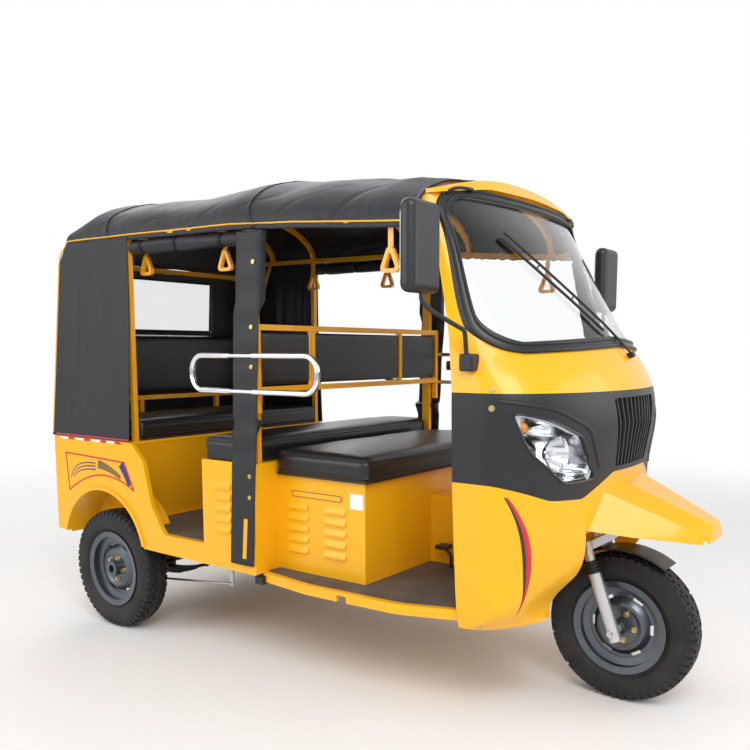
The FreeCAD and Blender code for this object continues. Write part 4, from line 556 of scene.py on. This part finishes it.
def ahead_of(outline, side, lift):
    """Outline in y and z of the right side, laid on the cab's skin ahead of the lamps' rear edge."""
    hits = [onto_front(cab_skin, -side * y, z, lift) for y, z in outline]
    return [spot for spot in hits if spot and spot.x > LAMPS_REAR]


def tube(bm, points, radius, sides=8, closed=False):
    """Round cord through points, each ring square to the run of its neighbours."""
    count = len(points)
    rings = []
    up = Vector((0.13, 0.31, 0.94)).normalized()  # askew, so that no run is parallel to it
    for index, spot in enumerate(points):
        before = points[index - 1] if index or closed else spot
        after = points[(index + 1) % count] if index < count - 1 or closed else spot
        run = (after - before).normalized()
        across = run.cross(up)
        if across.length < 0.1:
            across = run.cross(Vector((1, 0, 0)))
        across.normalize()
        over = across.cross(run)
        rings.append([bm.verts.new(spot + (across * math.cos(turn) + over * math.sin(turn)) * radius)
                      for turn in (math.tau * k / sides for k in range(sides))])
    join_rings(bm, rings, closed)
    if not closed:
        bm.faces.new(rings[0][::-1])
        bm.faces.new(rings[-1])
    face_out(bm)


def cord(name, points, radius, material, body="chassis", sides=8, closed=False):
    bm = bmesh.new()
    tube(bm, points, radius, sides, closed)
    piece(name, bm, material, body)


def rounded(corners, steps=8, spacing=0.012):
    """Closed outline through corners given as (y, z, radius), with each corner rounded."""
    outline = []
    count = len(corners)
    for index, (y, z, radius) in enumerate(corners):
        here = Vector((y, z))
        before = Vector(corners[index - 1][:2]) - here
        after = Vector(corners[(index + 1) % count][:2]) - here
        half = before.angle(after) / 2
        back = min(radius / math.tan(half), before.length * 0.48, after.length * 0.48)
        first, last = here + before.normalized() * back, here + after.normalized() * back
        outline += [first * (1 - t) ** 2 + here * 2 * t * (1 - t) + last * t * t
                    for t in (k / steps for k in range(steps + 1))]
    dense = []
    for first, last in zip(outline, outline[1:] + outline[:1]):
        parts = max(1, int((last - first).length / spacing))
        dense += [first.lerp(last, k / parts) for k in range(parts)]
    return dense


cab_skin = skin_of(nodes["nose_panel"], nodes["headlamp_lenses"], nodes["lower_cowl"], nodes["upper_cowl"])
side_skin = skin_of(nodes["upper_cowl"], nodes["nose_panel"], nodes["lower_cowl"])
LAMPS_REAR = 0.86
# corners of the lamp and of the ridge round it, as y, z and radius
LAMP_OUTLINE = ((-0.562, 1.078, 0.012), (-0.470, 1.052, 0.260), (-0.345, 0.990, 0.060), (-0.258, 0.846, 0.022),
                (-0.400, 0.838, 0.070), (-0.520, 0.950, 0.160))
RIDGE_OUTLINE = ((-0.575, 1.112, 0.02), (-0.462, 1.090, 0.260), (-0.318, 1.018, 0.080), (-0.222, 0.842, 0.04),
                 (-0.200, 0.600, 0.0), (-0.900, 0.600, 0.0), (-0.900, 1.112, 0.0))
RIDGE_FOOT, RIDGE_END = 0.872, -0.578
DISH_PLACE = (0.992, 0.385, 0.935)
DISH_TURN = math.radians(14.0)
# width and place across of the flash on the lower cowl, from its top to its foot
FLASH_WIDTH = 0.022
FLASH_CURVE = (0.563, 0.482, 0.498)
FLASH_TOP, FLASH_FOOT = 0.806, 0.406
FLASH_STEPS = 40
FLASH_LIFT = 0.0006
STUD_SPOTS = ((0.900, 1.150), (0.900, 1.090), (0.860, 0.365))
bezel_black = finish("bezel_black", (0.012, 0.012, 0.014), 0.3, (400.0, 0.0002), coat=0.2)
indicator_amber = finish("indicator_amber", (0.85, 0.28, 0.02), 0.15, (160.0, 0.0005), coat=0.6)
bulb_glass = finish("bulb_glass", (0.80, 0.82, 0.86), 0.06, drift=0.0, coat=1.0)
for side, label in SIDES:
    cord("headlamp_bezel_" + label, ahead_of(rounded(LAMP_OUTLINE), side, 0.0005), 0.0042, bezel_black,
         closed=True)
    ridge = [spot for spot in rounded(RIDGE_OUTLINE) if spot.y > RIDGE_FOOT and spot.x > RIDGE_END]
    cord("headlamp_ridge_" + label, ahead_of(ridge, side, -0.003), 0.0085, panel_black, sides=12)
    bm = bmesh.new()
    dish = [(0.050 * t * t, 0.006 + 0.050 * t) for t in (k / 10 for k in range(11))]
    dish += [(0.052, 0.0585), (0.049, 0.0600)]
    ring = [bm.verts.new((depth, 0.0, radius)) for depth, radius in dish]
    edges = [bm.edges.new(pair) for pair in zip(ring, ring[1:])]
    bmesh.ops.spin(bm, geom=ring + edges, cent=(0, 0, 0), axis=(1, 0, 0), angle=math.tau, steps=48, use_merge=True)
    face_out(bm)
    x, y, z = DISH_PLACE
    bmesh.ops.transform(bm, matrix=Matrix.Translation((x, side * y, z)) @ Matrix.Rotation(DISH_TURN * side, 4, "Z"),
                        verts=bm.verts)
    thicken(piece("headlamp_reflector_" + label, bm, lamp_chrome, sharp=50.0), "plate", 0.0012)
    for name, material, segments, rows, radius, (x, y, z), stretch in (
        ("bulb", bulb_glass, 20, 12, 0.011, (1.014, 0.387, 0.935), 1.5),
        ("indicator", indicator_amber, 24, 14, 0.020, (0.972, 0.508, 1.026), 0.8),
    ):
        bm = bmesh.new()
        bmesh.ops.create_uvsphere(bm, u_segments=segments, v_segments=rows, radius=radius)
        bmesh.ops.transform(bm, matrix=Matrix.Translation((x, side * y, z)) @ Matrix.Diagonal((stretch, 1, 1, 1)),
                            verts=bm.verts)
        piece("headlamp_{}_{}".format(name, label), bm, material)
    # curved flash on the lower cowl, black along its outer part and red along the rest
    for name, material, share_from, share_to in (("black", stripe_black, 0.0, 0.38), ("red", stripe_red, 0.38, 1.0)):
        bm = bmesh.new()
        rows = []
        for k in range(FLASH_STEPS + 1):
            t = k / FLASH_STEPS
            y = quadratic(t, *FLASH_CURVE)
            z = FLASH_TOP + (FLASH_FOOT - FLASH_TOP) * t
            width = FLASH_WIDTH * math.sin(math.pi * min(1.0, 0.08 + t * 0.92)) + 0.001
            row = [onto_front(cab_skin, side * (y - (share - 0.5) * width), z, FLASH_LIFT)
                   for share in (share_from, (share_from + share_to) / 2, share_to)]
            if all(row):
                rows.append([bm.verts.new(spot) for spot in row])
        join_rows(bm, rows)
        face_out(bm)
        flash = piece("cowl_flash_{}_{}".format(name, label), bm, material)
        thicken(flash, "film", STICKER, 0.0)
    # studs at the rear edge of the cab
    bm = bmesh.new()
    for x, z in STUD_SPOTS:
        spot, normal, _, _ = side_skin.ray_cast(Vector((x, side * 2.0, z)), Vector((0, -side, 0)))
        if spot:
            bolt_head(bm, spot, normal, 0.008, 0.005, sides=14)
    piece("cab_studs_" + label, bm, nut_zinc)

gasket_skin = skin_of(nodes["windscreen_gasket"], nodes["windscreen"], nodes["upper_cowl"])
for label, inset in (("outer", 0.007), ("inner", 0.029)):
    half_low, half_high = 0.556 - inset * 0.58, 0.536 - inset * 0.58
    corners = ((-half_low, 1.258 + inset, 0.09), (0.0, 1.286 + inset, 0.4), (half_low, 1.258 + inset, 0.09),
               (half_high, 1.818 - inset, 0.10), (-half_high, 1.818 - inset, 0.10))
    path = [onto_front(gasket_skin, y, z, -0.001) for y, z in rounded(corners)]
    cord("screen_bead_" + label, [spot for spot in path if spot and spot.x > 0.55], 0.0062, screen_rubber,
         sides=10, closed=True)

# ---------------- seats
# Foam pads under stretched black vinyl on plywood lids; the vinyl is crowned and tucked in at
# the sides, with a welted seam round the top and the foot of each cushion.
seat_vinyl = finish("seat_vinyl", (0.010, 0.010, 0.011), 0.34, (330.0, 0.0005), drift=0.15, patches=9.0, shine=0.45)
dress(finish("seat_board", (0.035, 0.022, 0.014), 0.6, (60.0, 0.0005), drift=0.3, patches=18.0), "driver_seat_lid",
      "rear_seat_lid")
VOXEL = 0.011
SMOOTH_ROUNDS = 6
WELT_STEP = 0.012
WELT_LIFT = 0.0008
WELT_RADIUS = 0.0034
WELT_MARGIN = 0.06


def vinyl_pad(name, node, body, crown):
    """Vinyl over the foam solid of a CAD node: remeshed to even voxels, smoothed, then crowned."""
    low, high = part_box(node)
    bm = bmesh.new()
    bm.from_mesh(nodes[node].data)
    bmesh.ops.remove_doubles(bm, verts=bm.verts, dist=1e-5)
    mesh = bpy.data.meshes.new(name)
    bm.to_mesh(mesh)
    bm.free()
    made = bpy.data.objects.new(name, mesh)
    scene.collection.objects.link(made)
    remesh = made.modifiers.new("foam", "REMESH")
    remesh.mode = "VOXEL"
    remesh.voxel_size = VOXEL
    evaluated = made.evaluated_get(bpy.context.evaluated_depsgraph_get())
    baked = bpy.data.meshes.new_from_object(evaluated)
    made.modifiers.clear()
    made.data = baked
    bm = bmesh.new()
    bm.from_mesh(baked)
    for _ in range(SMOOTH_ROUNDS):
        bmesh.ops.smooth_vert(bm, verts=bm.verts, factor=0.5, use_axis_x=True, use_axis_y=True, use_axis_z=True)
    crown(bm, low, high)
    bm.to_mesh(baked)
    bm.free()
    baked.polygons.foreach_set("use_smooth", [True] * len(baked.polygons))
    baked.materials.clear()
    baked.materials.append(seat_vinyl)
    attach(made, body)
    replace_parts(made, node)
    return made


def welt(name, pad, level, body):
    """Piped seam round a pad at a height, laid on the pad's own skin."""
    tree = skin_of(pad)
    a0, b0 = (min(v.co[k] for v in pad.data.vertices) for k in (0, 1))
    a1, b1 = (max(v.co[k] for v in pad.data.vertices) for k in (0, 1))
    corners = ((a0, b0), (a1, b0), (a1, b1), (a0, b1))
    path = []
    for (u0, v0), (u1, v1) in zip(corners, corners[1:] + corners[:1]):
        steps = max(4, int(math.hypot(u1 - u0, v1 - v0) / WELT_STEP))
        for k in range(steps):
            u, v = u0 + (u1 - u0) * k / steps, v0 + (v1 - v0) * k / steps
            aim_u = min(max(u, a0 + WELT_MARGIN), a1 - WELT_MARGIN)
            aim_v = min(max(v, b0 + WELT_MARGIN), b1 - WELT_MARGIN)
            away = Vector((u - aim_u, v - aim_v)).normalized() * 0.08
            start, end = Vector((u + away.x, v + away.y, level)), Vector((aim_u, aim_v, level))
            spot, normal, _, _ = tree.ray_cast(start, (end - start).normalized())
            if spot and (not path or (spot - path[-1]).length > 0.004):
                path.append(spot + normal * WELT_LIFT)
    cord(name, path, WELT_RADIUS, seat_vinyl, body, closed=True)


def seat_crown(bm, low, high):
    """Raises the middle of a flat seat, ripples it and tucks its sides in below the seam."""
    middle = (low + high) / 2
    span = (high - low) / 2
    for vert in bm.verts:
        u = (vert.co.x - middle.x) / span.x
        v = (vert.co.y - middle.y) / span.y
        up = max(0.0, (vert.co.z - low.z) / (high.z - low.z))
        dome = max(0.0, 1 - u * u) ** 0.6 * max(0.0, 1 - v ** 4) ** 0.5
        vert.co.z += 0.012 * dome * up
        ripple = noise.noise(vert.co * 7.0) * 0.0022 + noise.noise(vert.co * 19.0) * 0.0008
        vert.co.z += ripple * up
        if up < 0.6:
            tuck = 0.004 * math.sin(min(1.0, up / 0.6) * math.pi)
            vert.co.x -= math.copysign(tuck, u) * (abs(u) > 0.9)
            vert.co.y -= math.copysign(tuck, v) * (abs(v) > 0.95)


for name, node, body in (("driver_cushion", "driver_seat_cushion", "driver_seat"),
                         ("middle_cushion", "middle_seat_cushion", "chassis"),
                         ("rear_cushion", "rear_seat_cushion", "rear_seat")):
    pad = vinyl_pad(name, node, body, seat_crown)
    low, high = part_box(node)
    welt(name + "_welt", pad, high.z - 0.016, body)
    welt(name + "_foot", pad, low.z + 0.010, body)


def back_crown(bm, low, high):
    """Bellies a backrest forward between its edges."""
    middle = (low + high) / 2
    span = (high - low) / 2
    for vert in bm.verts:
        v = (vert.co.y - middle.y) / span.y
        w = (vert.co.z - middle.z) / span.z
        ahead = max(0.0, (vert.co.x - low.x) / (high.x - low.x))
        dome = max(0.0, 1 - v ** 4) ** 0.5 * max(0.0, 1 - w * w) ** 0.6
        vert.co.x += (0.010 * dome + noise.noise(vert.co * 8.0) * 0.002) * ahead


vinyl_pad("rear_back_pad", "rear_backrest", "chassis", back_crown)


def panel_crown(bm, low, high):
    """Ripples the thin panels behind the driver, which have no crown."""
    for vert in bm.verts:
        vert.co.x += noise.noise(vert.co * 11.0) * 0.0006


vinyl_pad("middle_back_panels", "backrest_pads", "chassis", panel_crown)

dress(finish("guard_chrome", (0.80, 0.81, 0.83), 0.08, (30.0, 0.0002), drift=0.02, metallic=1.0), "side_guards")

# ---------------- canopy
# One sheet of coated black canvas over five hoops, hemmed along the rails, with felled seams at
# two hoops, a lap with yellow piping round its rear edge and a bound front edge.
canvas = finish("canvas", (0.012, 0.013, 0.017), 0.50, (900.0, 0.0003), drift=0.2, patches=6.0, shine=0.42)
piping_yellow = finish("piping_yellow", (0.86, 0.42, 0.01), 0.42, (300.0, 0.0003), drift=0.08)
# along the vehicle: x, height of the rail and height of the crown
CANOPY_STATIONS = ((-1.370, 1.682, 1.702), (-1.311, 1.773, 1.905), (-1.192, 1.773, 1.998), (-0.765, 1.768, 1.976),
                   (-0.243, 1.758, 1.994), (0.100, 1.737, 1.966), (0.446, 1.709, 1.935), (0.600, 1.697, 1.893),
                   (0.690, 1.690, 1.888))
CANOPY_REAR = -1.370
# height and x of the edge over the cab
CANOPY_FRONT = ((1.690, 0.664), (1.855, 0.572), (1.935, 0.558))
HOOPS = (-1.181, -0.880, -0.232, 0.111, 0.538)
CANOPY_HALF = 0.622
CANVAS_THICK = 0.003
HEM_DROP = 0.025
HEM_SHARE = 0.04
CROWN_SAG, SIDE_SAG = 0.012, 0.008


def rail_and_crown(x):
    """Heights of the rail and of the crown at x."""
    for (x0, rail0, crown0), (x1, rail1, crown1) in zip(CANOPY_STATIONS, CANOPY_STATIONS[1:]):
        if x <= x1 or x1 == CANOPY_STATIONS[-1][0]:
            share = min(1.0, max(0.0, (x - x0) / (x1 - x0)))
            return rail0 + (rail1 - rail0) * share, crown0 + (crown1 - crown0) * share


def sag_at(x):
    """How far the canvas dips between hoops, from 0 at a hoop to 1 midway."""
    if x < HOOPS[0] or x > HOOPS[-1]:
        return 0.0
    for a, b in zip(HOOPS, HOOPS[1:]):
        if a <= x <= b:
            return math.sin(math.pi * (x - a) / (b - a)) ** 2 * min(1.0, (b - a) / 0.6)
    return 0.0


def canvas_point(x, v):
    """Point of the canopy's sheet: v runs from -1 at the right hem over the crown to 1 at the left hem."""
    edge = max(0.0, (abs(v) - (1 - HEM_SHARE)) / HEM_SHARE)
    angle = math.pi / 2 * min(1.0, abs(v) / (1 - HEM_SHARE))
    rail, crown = rail_and_crown(x)
    sag = sag_at(x)
    y = math.sin(angle) * (CANOPY_HALF - CANVAS_THICK / 2)
    z = rail + math.cos(angle) * (crown - rail) - CANVAS_THICK / 2
    z -= CROWN_SAG * sag * math.cos(angle) ** 0.5 + HEM_DROP * edge
    y -= SIDE_SAG * sag * math.sin(angle) * (1 - edge)
    spot = Vector((x * 2.2, math.copysign(y, v) * 3.4, 0.0))
    ripple = noise.noise(spot * 2.0) * 0.005 + noise.noise(spot * 5.3) * 0.0022
    slant = noise.noise(Vector((x * 3.0 + z * 5.0, z * 9.0 - x * 4.0, v)))
    pucker = math.sin(x * 95.0 + 6 * noise.noise(spot)) * 0.0014 * max(0.0, abs(v) - 0.7) / 0.3
    crease = max(0.0, 1 - abs(slant) * 5.0) * 0.0060 * math.sin(angle) * (1 - edge) * (0.3 + sag)
    z += (ripple - 0.005) * math.cos(angle)
    y += pucker - crease - 0.001
    return Vector((x, math.copysign(y, v), z))


BROW_X = 0.62


def canopy_front(v):
    """Where the canvas ends over the cab."""
    z = canvas_point(BROW_X, v).z
    for (z0, x0), (z1, x1) in zip(CANOPY_FRONT, CANOPY_FRONT[1:]):
        if z <= z1:
            return x0 + (x1 - x0) * max(0.0, (z - z0) / (z1 - z0))
    return CANOPY_FRONT[-1][1]


TOP_STEPS = 230
ACROSS_STEPS = 150
bm = bmesh.new()
bmesh.ops.create_grid(bm, x_segments=TOP_STEPS, y_segments=ACROSS_STEPS, size=0.5)
for vert in bm.verts:
    u, v = vert.co.x + 0.5, vert.co.y * 2
    vert.co = canvas_point(CANOPY_REAR + (canopy_front(v) - CANOPY_REAR) * u, v)
canopy_sheet = piece("canopy_canvas", bm, canvas, sharp=60.0)
thicken(canopy_sheet, "cloth_thickness", CANVAS_THICK, 0.0)
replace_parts(canopy_sheet, "canopy_top")

TAPE_STEPS = 120
TAPE_REACH = 0.99


def tape(name, x_at, width, lift):
    """Strip of canvas sewn across the canopy: x_at gives x for v and for the share of its length."""
    bm = bmesh.new()
    rows = []
    for index in range(TAPE_STEPS + 1):
        share = index / TAPE_STEPS
        last = index == TAPE_STEPS
        next_share = share - 0.01 if last else min(1.0, share + 0.01)
        v, v_next = (part * 2 * TAPE_REACH - TAPE_REACH for part in (share, next_share))
        x = x_at(v, share)
        here, there = canvas_point(x, v), canvas_point(x_at(v_next, next_share), v_next)
        along = (here - there) if last else (there - here)
        out = Vector((0.0, here.y, max(0.0, here.z - rail_and_crown(x)[0]) * 2.2)).normalized()
        side = along.cross(out).normalized() * width / 2
        rows.append([bm.verts.new(here + out * lift + side * share) for share in (-1.0, 0.0, 1.0)])
        rows[-1][1].co += out * lift * 0.4
    join_rows(bm, rows)
    face_out(bm)
    thicken(piece(name, bm, canvas, sharp=60.0), "tape_thickness", lift * 1.2, 0.0)


for label, x_rail, x_crown in (("front", -0.102, -0.215), ("rear", -0.985, -1.120)):
    tape("canopy_seam_" + label,
         lambda v, share, a=x_rail, b=x_crown: a + (b - a) * math.cos(math.pi * (share - 0.5)) ** 0.7,
         0.016, 0.0022)
tape("canopy_front_binding", lambda v, share: canopy_front(v) - 0.011, 0.024, 0.0026)
# piping along the rail, round the rear shoulder and down the rear corner
PIPING_FROM, PIPING_LENGTH = 0.655, 1.955
PIPING_SHOULDER = ((-1.322, 0.6225, 1.745), (-1.350, 0.6235, 1.722), (-1.366, 0.6255, 1.690))
PIPING_RADIUS = 0.0033
for side, label in SIDES:
    rail_run = [canvas_point(PIPING_FROM - PIPING_LENGTH * k / 150, side * 0.965) + Vector((0, side * 0.0035, 0))
                for k in range(151)]
    rail_run += [Vector((x, side * y, z)) for x, y, z in PIPING_SHOULDER]
    for z in (1.66 - 0.776 * k / 24 for k in range(25)):
        share = (z - 0.872) / 0.918
        rail_run.append(Vector((-1.446 + 0.089 * share, side * (0.6487 - 0.026 * share), z)))
    cord("canopy_piping_" + label, rail_run, PIPING_RADIUS, piping_yellow)

# ---------------- rear enclosure
# The rear wall and quarters are one skirt of the same canvas, laced down to the body's edge, with
# shallow upright folds, a red cord at its foot and a clear window sewn in at the back.
QUARTER_LOW, QUARTER_HIGH = 0.872, 1.790
QUARTER_FRONT = -0.866
WINDOW_HALF = 0.300
WINDOW_LOW, WINDOW_HIGH = 1.375, 1.636
SKIRT_COLUMNS, SKIRT_ROWS = 210, 64


def skirt_point(run, z):
    """Point of the skirt's outer face: run goes from 0 at the right front edge round the back to 3."""
    share = (z - QUARTER_LOW) / (QUARTER_HIGH - QUARTER_LOW)
    rear = -1.450 + 0.089 * share
    half = 0.648 - 0.026 * share
    if run < 1:
        spot = Vector((QUARTER_FRONT + (rear - QUARTER_FRONT) * run, -half, z))
        out = Vector((0, -1, 0))
    elif run < 2:
        spot = Vector((rear, -half + 2 * half * (run - 1), z))
        out = Vector((-1, 0, 0))
    else:
        spot = Vector((rear + (QUARTER_FRONT - rear) * (run - 2), half, z))
        out = Vector((0, 1, 0))
    corner = min(abs(run - 1), abs(run - 2))
    free = min(1.0, corner * 6) * math.sin(math.pi * min(1.0, max(0.0, share)))
    fold = noise.noise(Vector((run * 9.0, share * 1.3, 3.1))) * 0.010 + noise.noise(
        Vector((run * 22.0, share * 2.6 + run * 3.0, 7.7))) * 0.0045
    return spot + out * (fold - 0.0095) * free - out * 0.0015


def skirt_top(run):
    """Height at which the skirt meets the underside of the rail."""
    top = QUARTER_HIGH
    for _ in range(6):
        x = skirt_point(run, top).x
        top = rail_and_crown(max(x, CANOPY_REAR + 0.001))[0] - 0.014
    return top


bm = bmesh.new()
grid = []
for k in range(SKIRT_COLUMNS + 1):
    run = 3.0 * k / SKIRT_COLUMNS
    rise = skirt_top(run) - QUARTER_LOW
    grid.append([bm.verts.new(skirt_point(run, QUARTER_LOW + rise * row / SKIRT_ROWS))
                 for row in range(SKIRT_ROWS + 1)])
for left, right in zip(grid, grid[1:]):
    for row in range(SKIRT_ROWS):
        quad = (left[row], right[row], right[row + 1], left[row + 1])
        middle = sum((vert.co for vert in quad), Vector()) / 4
        in_window = abs(middle.y) < WINDOW_HALF and WINDOW_LOW < middle.z < WINDOW_HIGH
        if middle.x > -1.30 or not in_window:
            bm.faces.new(quad)
bmesh.ops.delete(bm, geom=[vert for vert in bm.verts if not vert.link_faces], context="VERTS")
skirt = piece("canopy_skirt", bm, canvas, sharp=60.0)
thicken(skirt, "cloth_thickness", CANVAS_THICK)
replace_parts(skirt, "canopy_rear")

bm = bmesh.new()
window = ((-WINDOW_HALF, WINDOW_LOW), (WINDOW_HALF, WINDOW_LOW), (WINDOW_HALF, WINDOW_HIGH),
          (-WINDOW_HALF, WINDOW_HIGH))
for (y0, z0), (y1, z1) in zip(window, window[1:] + window[:1]):
    points = []
    for k in range(13):
        y, z = y0 + (y1 - y0) * k / 12, z0 + (z1 - z0) * k / 12
        points.append(skirt_point(1.5 + y / 1.27, z) + Vector((-0.003, 0, 0)))
    tube(bm, points, 0.006)
piece("rear_window_welt", bm, canvas)
for side, label in SIDES:
    foot = [skirt_point(run if side < 0 else 3 - run, 0.880) + Vector((0, side * 0.004, 0))
            for run in (0.94 * k / 50 for k in range(51))]
    cord("skirt_cord_" + label, foot, 0.0032, stripe_red)
dress(finish("clear_film", (0.93, 0.95, 0.95), 0.08, drift=0.02, Transmission_Weight=0.9, IOR=1.2), "rear_window")

# ---------------- curtains and sleeves
# Side curtains of the same canvas, rolled up and tied below the rail, and sleeves closed round the
# middle posts with brass snaps and a yellow painted foot strip.
snap_brass = finish("snap_brass", (0.72, 0.50, 0.16), 0.28, (200.0, 0.0001), metallic=1.0)
ROLL_RADIUS = 0.0325
ROLL_Y = 0.592
ROLL_DROP = 0.0575
ROLL_FROM, ROLL_LENGTH = -0.858, 0.660
ROLL_STEPS, ROLL_SIDES = 150, 40
TIES = (-0.790, -0.570, -0.300)
TIE_SIDES = 28
SLEEVE_LOW, SLEEVE_HIGH = 0.431, 1.715
SLEEVE_STEPS, SLEEVE_SIDES = 110, 36
SLEEVE_INNER, SLEEVE_OUTER = 0.6435, 0.6532
POST_LOW, POST_HIGH = 0.429, 1.718
# the sleeve reaches further in at the backrest and near the rail
LEDGE = 0.040
LEDGE_EASE = 0.05
BACKREST_FROM, BACKREST_TO = 0.945, 1.01
RAIL_FROM = 1.41
SNAP_SPOTS = ((-0.119, 0.788), (-0.121, 0.705), (-0.098, 1.21), (-0.094, 1.36), (-0.078, 1.60))
FOOT_STRIP = ((-0.163, 0.459), (-0.143, 0.459), (-0.131, 0.619), (-0.151, 0.619))


def roll_centre(x, side):
    return Vector((x, side * ROLL_Y, rail_and_crown(x)[0] - ROLL_DROP))


for side, label in SIDES:
    bm = bmesh.new()
    rings = []
    for k in range(ROLL_STEPS + 1):
        x = ROLL_FROM + ROLL_LENGTH * k / ROLL_STEPS
        centre = roll_centre(x, side)
        pinch = max(math.exp(-((x - tie) / 0.012) ** 2) for tie in TIES)
        ring = []
        for turn in range(ROLL_SIDES):
            angle = math.tau * turn / ROLL_SIDES
            wave = noise.noise(Vector((x * 7.0, math.cos(angle) * 1.4, math.sin(angle) * 1.4 + side)))
            spiral = 0.0018 * math.sin(3 * angle + x * 9.0)
            radius = ROLL_RADIUS - 0.004 + wave * 0.0032 + spiral - 0.0075 * pinch
            ring.append(bm.verts.new(centre + Vector((0, math.cos(angle), math.sin(angle))) * radius))
        rings.append(ring)
    join_rings(bm, rings)
    for ring in (rings[0], rings[-1]):
        bmesh.ops.poke(bm, faces=[bm.faces.new(ring)])
    face_out(bm)
    roll = piece("curtain_roll_" + label, bm, canvas, sharp=70.0)
    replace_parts(roll, "side_curtains")
    bm = bmesh.new()
    for tie in TIES:
        loop = [roll_centre(tie, side) + Vector((0, math.cos(a), math.sin(a))) * (ROLL_RADIUS - 0.0072)
                for a in (math.tau * k / TIE_SIDES for k in range(TIE_SIDES))]
        tube(bm, loop, 0.0035, closed=True)
    piece("curtain_ties_" + label, bm, canvas)

    # sleeve: a flattened loop of canvas round the post, from the sill up to the hem, that lies
    # calm on the lower body
    bm = bmesh.new()
    rings = []
    for step in range(SLEEVE_STEPS + 1):
        z = SLEEVE_LOW + (SLEEVE_HIGH - SLEEVE_LOW) * step / SLEEVE_STEPS
        share = (z - POST_LOW) / (POST_HIGH - POST_LOW)
        x_rear, x_front = -0.236 + 0.060 * share, -0.110 + 0.069 * share
        inner_y = SLEEVE_INNER - LEDGE * min(1.0, max(0.0, (z - BACKREST_FROM) / LEDGE_EASE)) * (z < BACKREST_TO)
        if z >= RAIL_FROM:
            inner_y = SLEEVE_INNER - LEDGE * min(1.0, (z - RAIL_FROM) / LEDGE_EASE)
        calm = min(1.0, max(0.15, (z - 0.78) / 0.1))
        bulge = 0.0018 * math.sin(z * 49.0 + noise.noise(Vector((z * 4, 0.5, 0.2)))) * calm
        ring = []
        for k in range(SLEEVE_SIDES):
            angle = math.tau * k / SLEEVE_SIDES
            along, flat = (math.copysign(abs(turn) ** 0.5, turn) for turn in (math.cos(angle), math.sin(angle)))
            x = (x_rear + x_front) / 2 + (x_front - x_rear) / 2 * along
            fold = noise.noise(Vector((x * 24.0, z * 5.0 + x * 14.0, side * 2.0))) * 0.0042 * calm
            outer_y = SLEEVE_OUTER - 0.0025 * calm + (bulge + fold) * max(0.0, flat)
            y = (outer_y + inner_y) / 2 + (outer_y - inner_y) / 2 * flat
            ring.append(bm.verts.new((x + fold, side * y, z)))
        rings.append(ring)
    join_rings(bm, rings)
    face_out(bm)
    sleeve = piece("pillar_sleeve_" + label, bm, canvas, sharp=60.0)
    thicken(sleeve, "cloth_thickness", CANVAS_THICK)
    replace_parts(sleeve, "side_curtains")
    bm = bmesh.new()
    for x, z in SNAP_SPOTS:
        bolt_head(bm, Vector((x, side * 0.6530, z)), Vector((0, side, 0)), 0.0065, 0.003, sides=14)
    piece("sleeve_snaps_" + label, bm, snap_brass)
    flat_sticker("sleeve_strip_" + label, FOOT_STRIP, piping_yellow, side, depth=0.002, level=0.6535)

dress(finish("handle_yellow", (0.88, 0.40, 0.02), 0.3, (260.0, 0.0002), coat=0.3), "grab_handles")
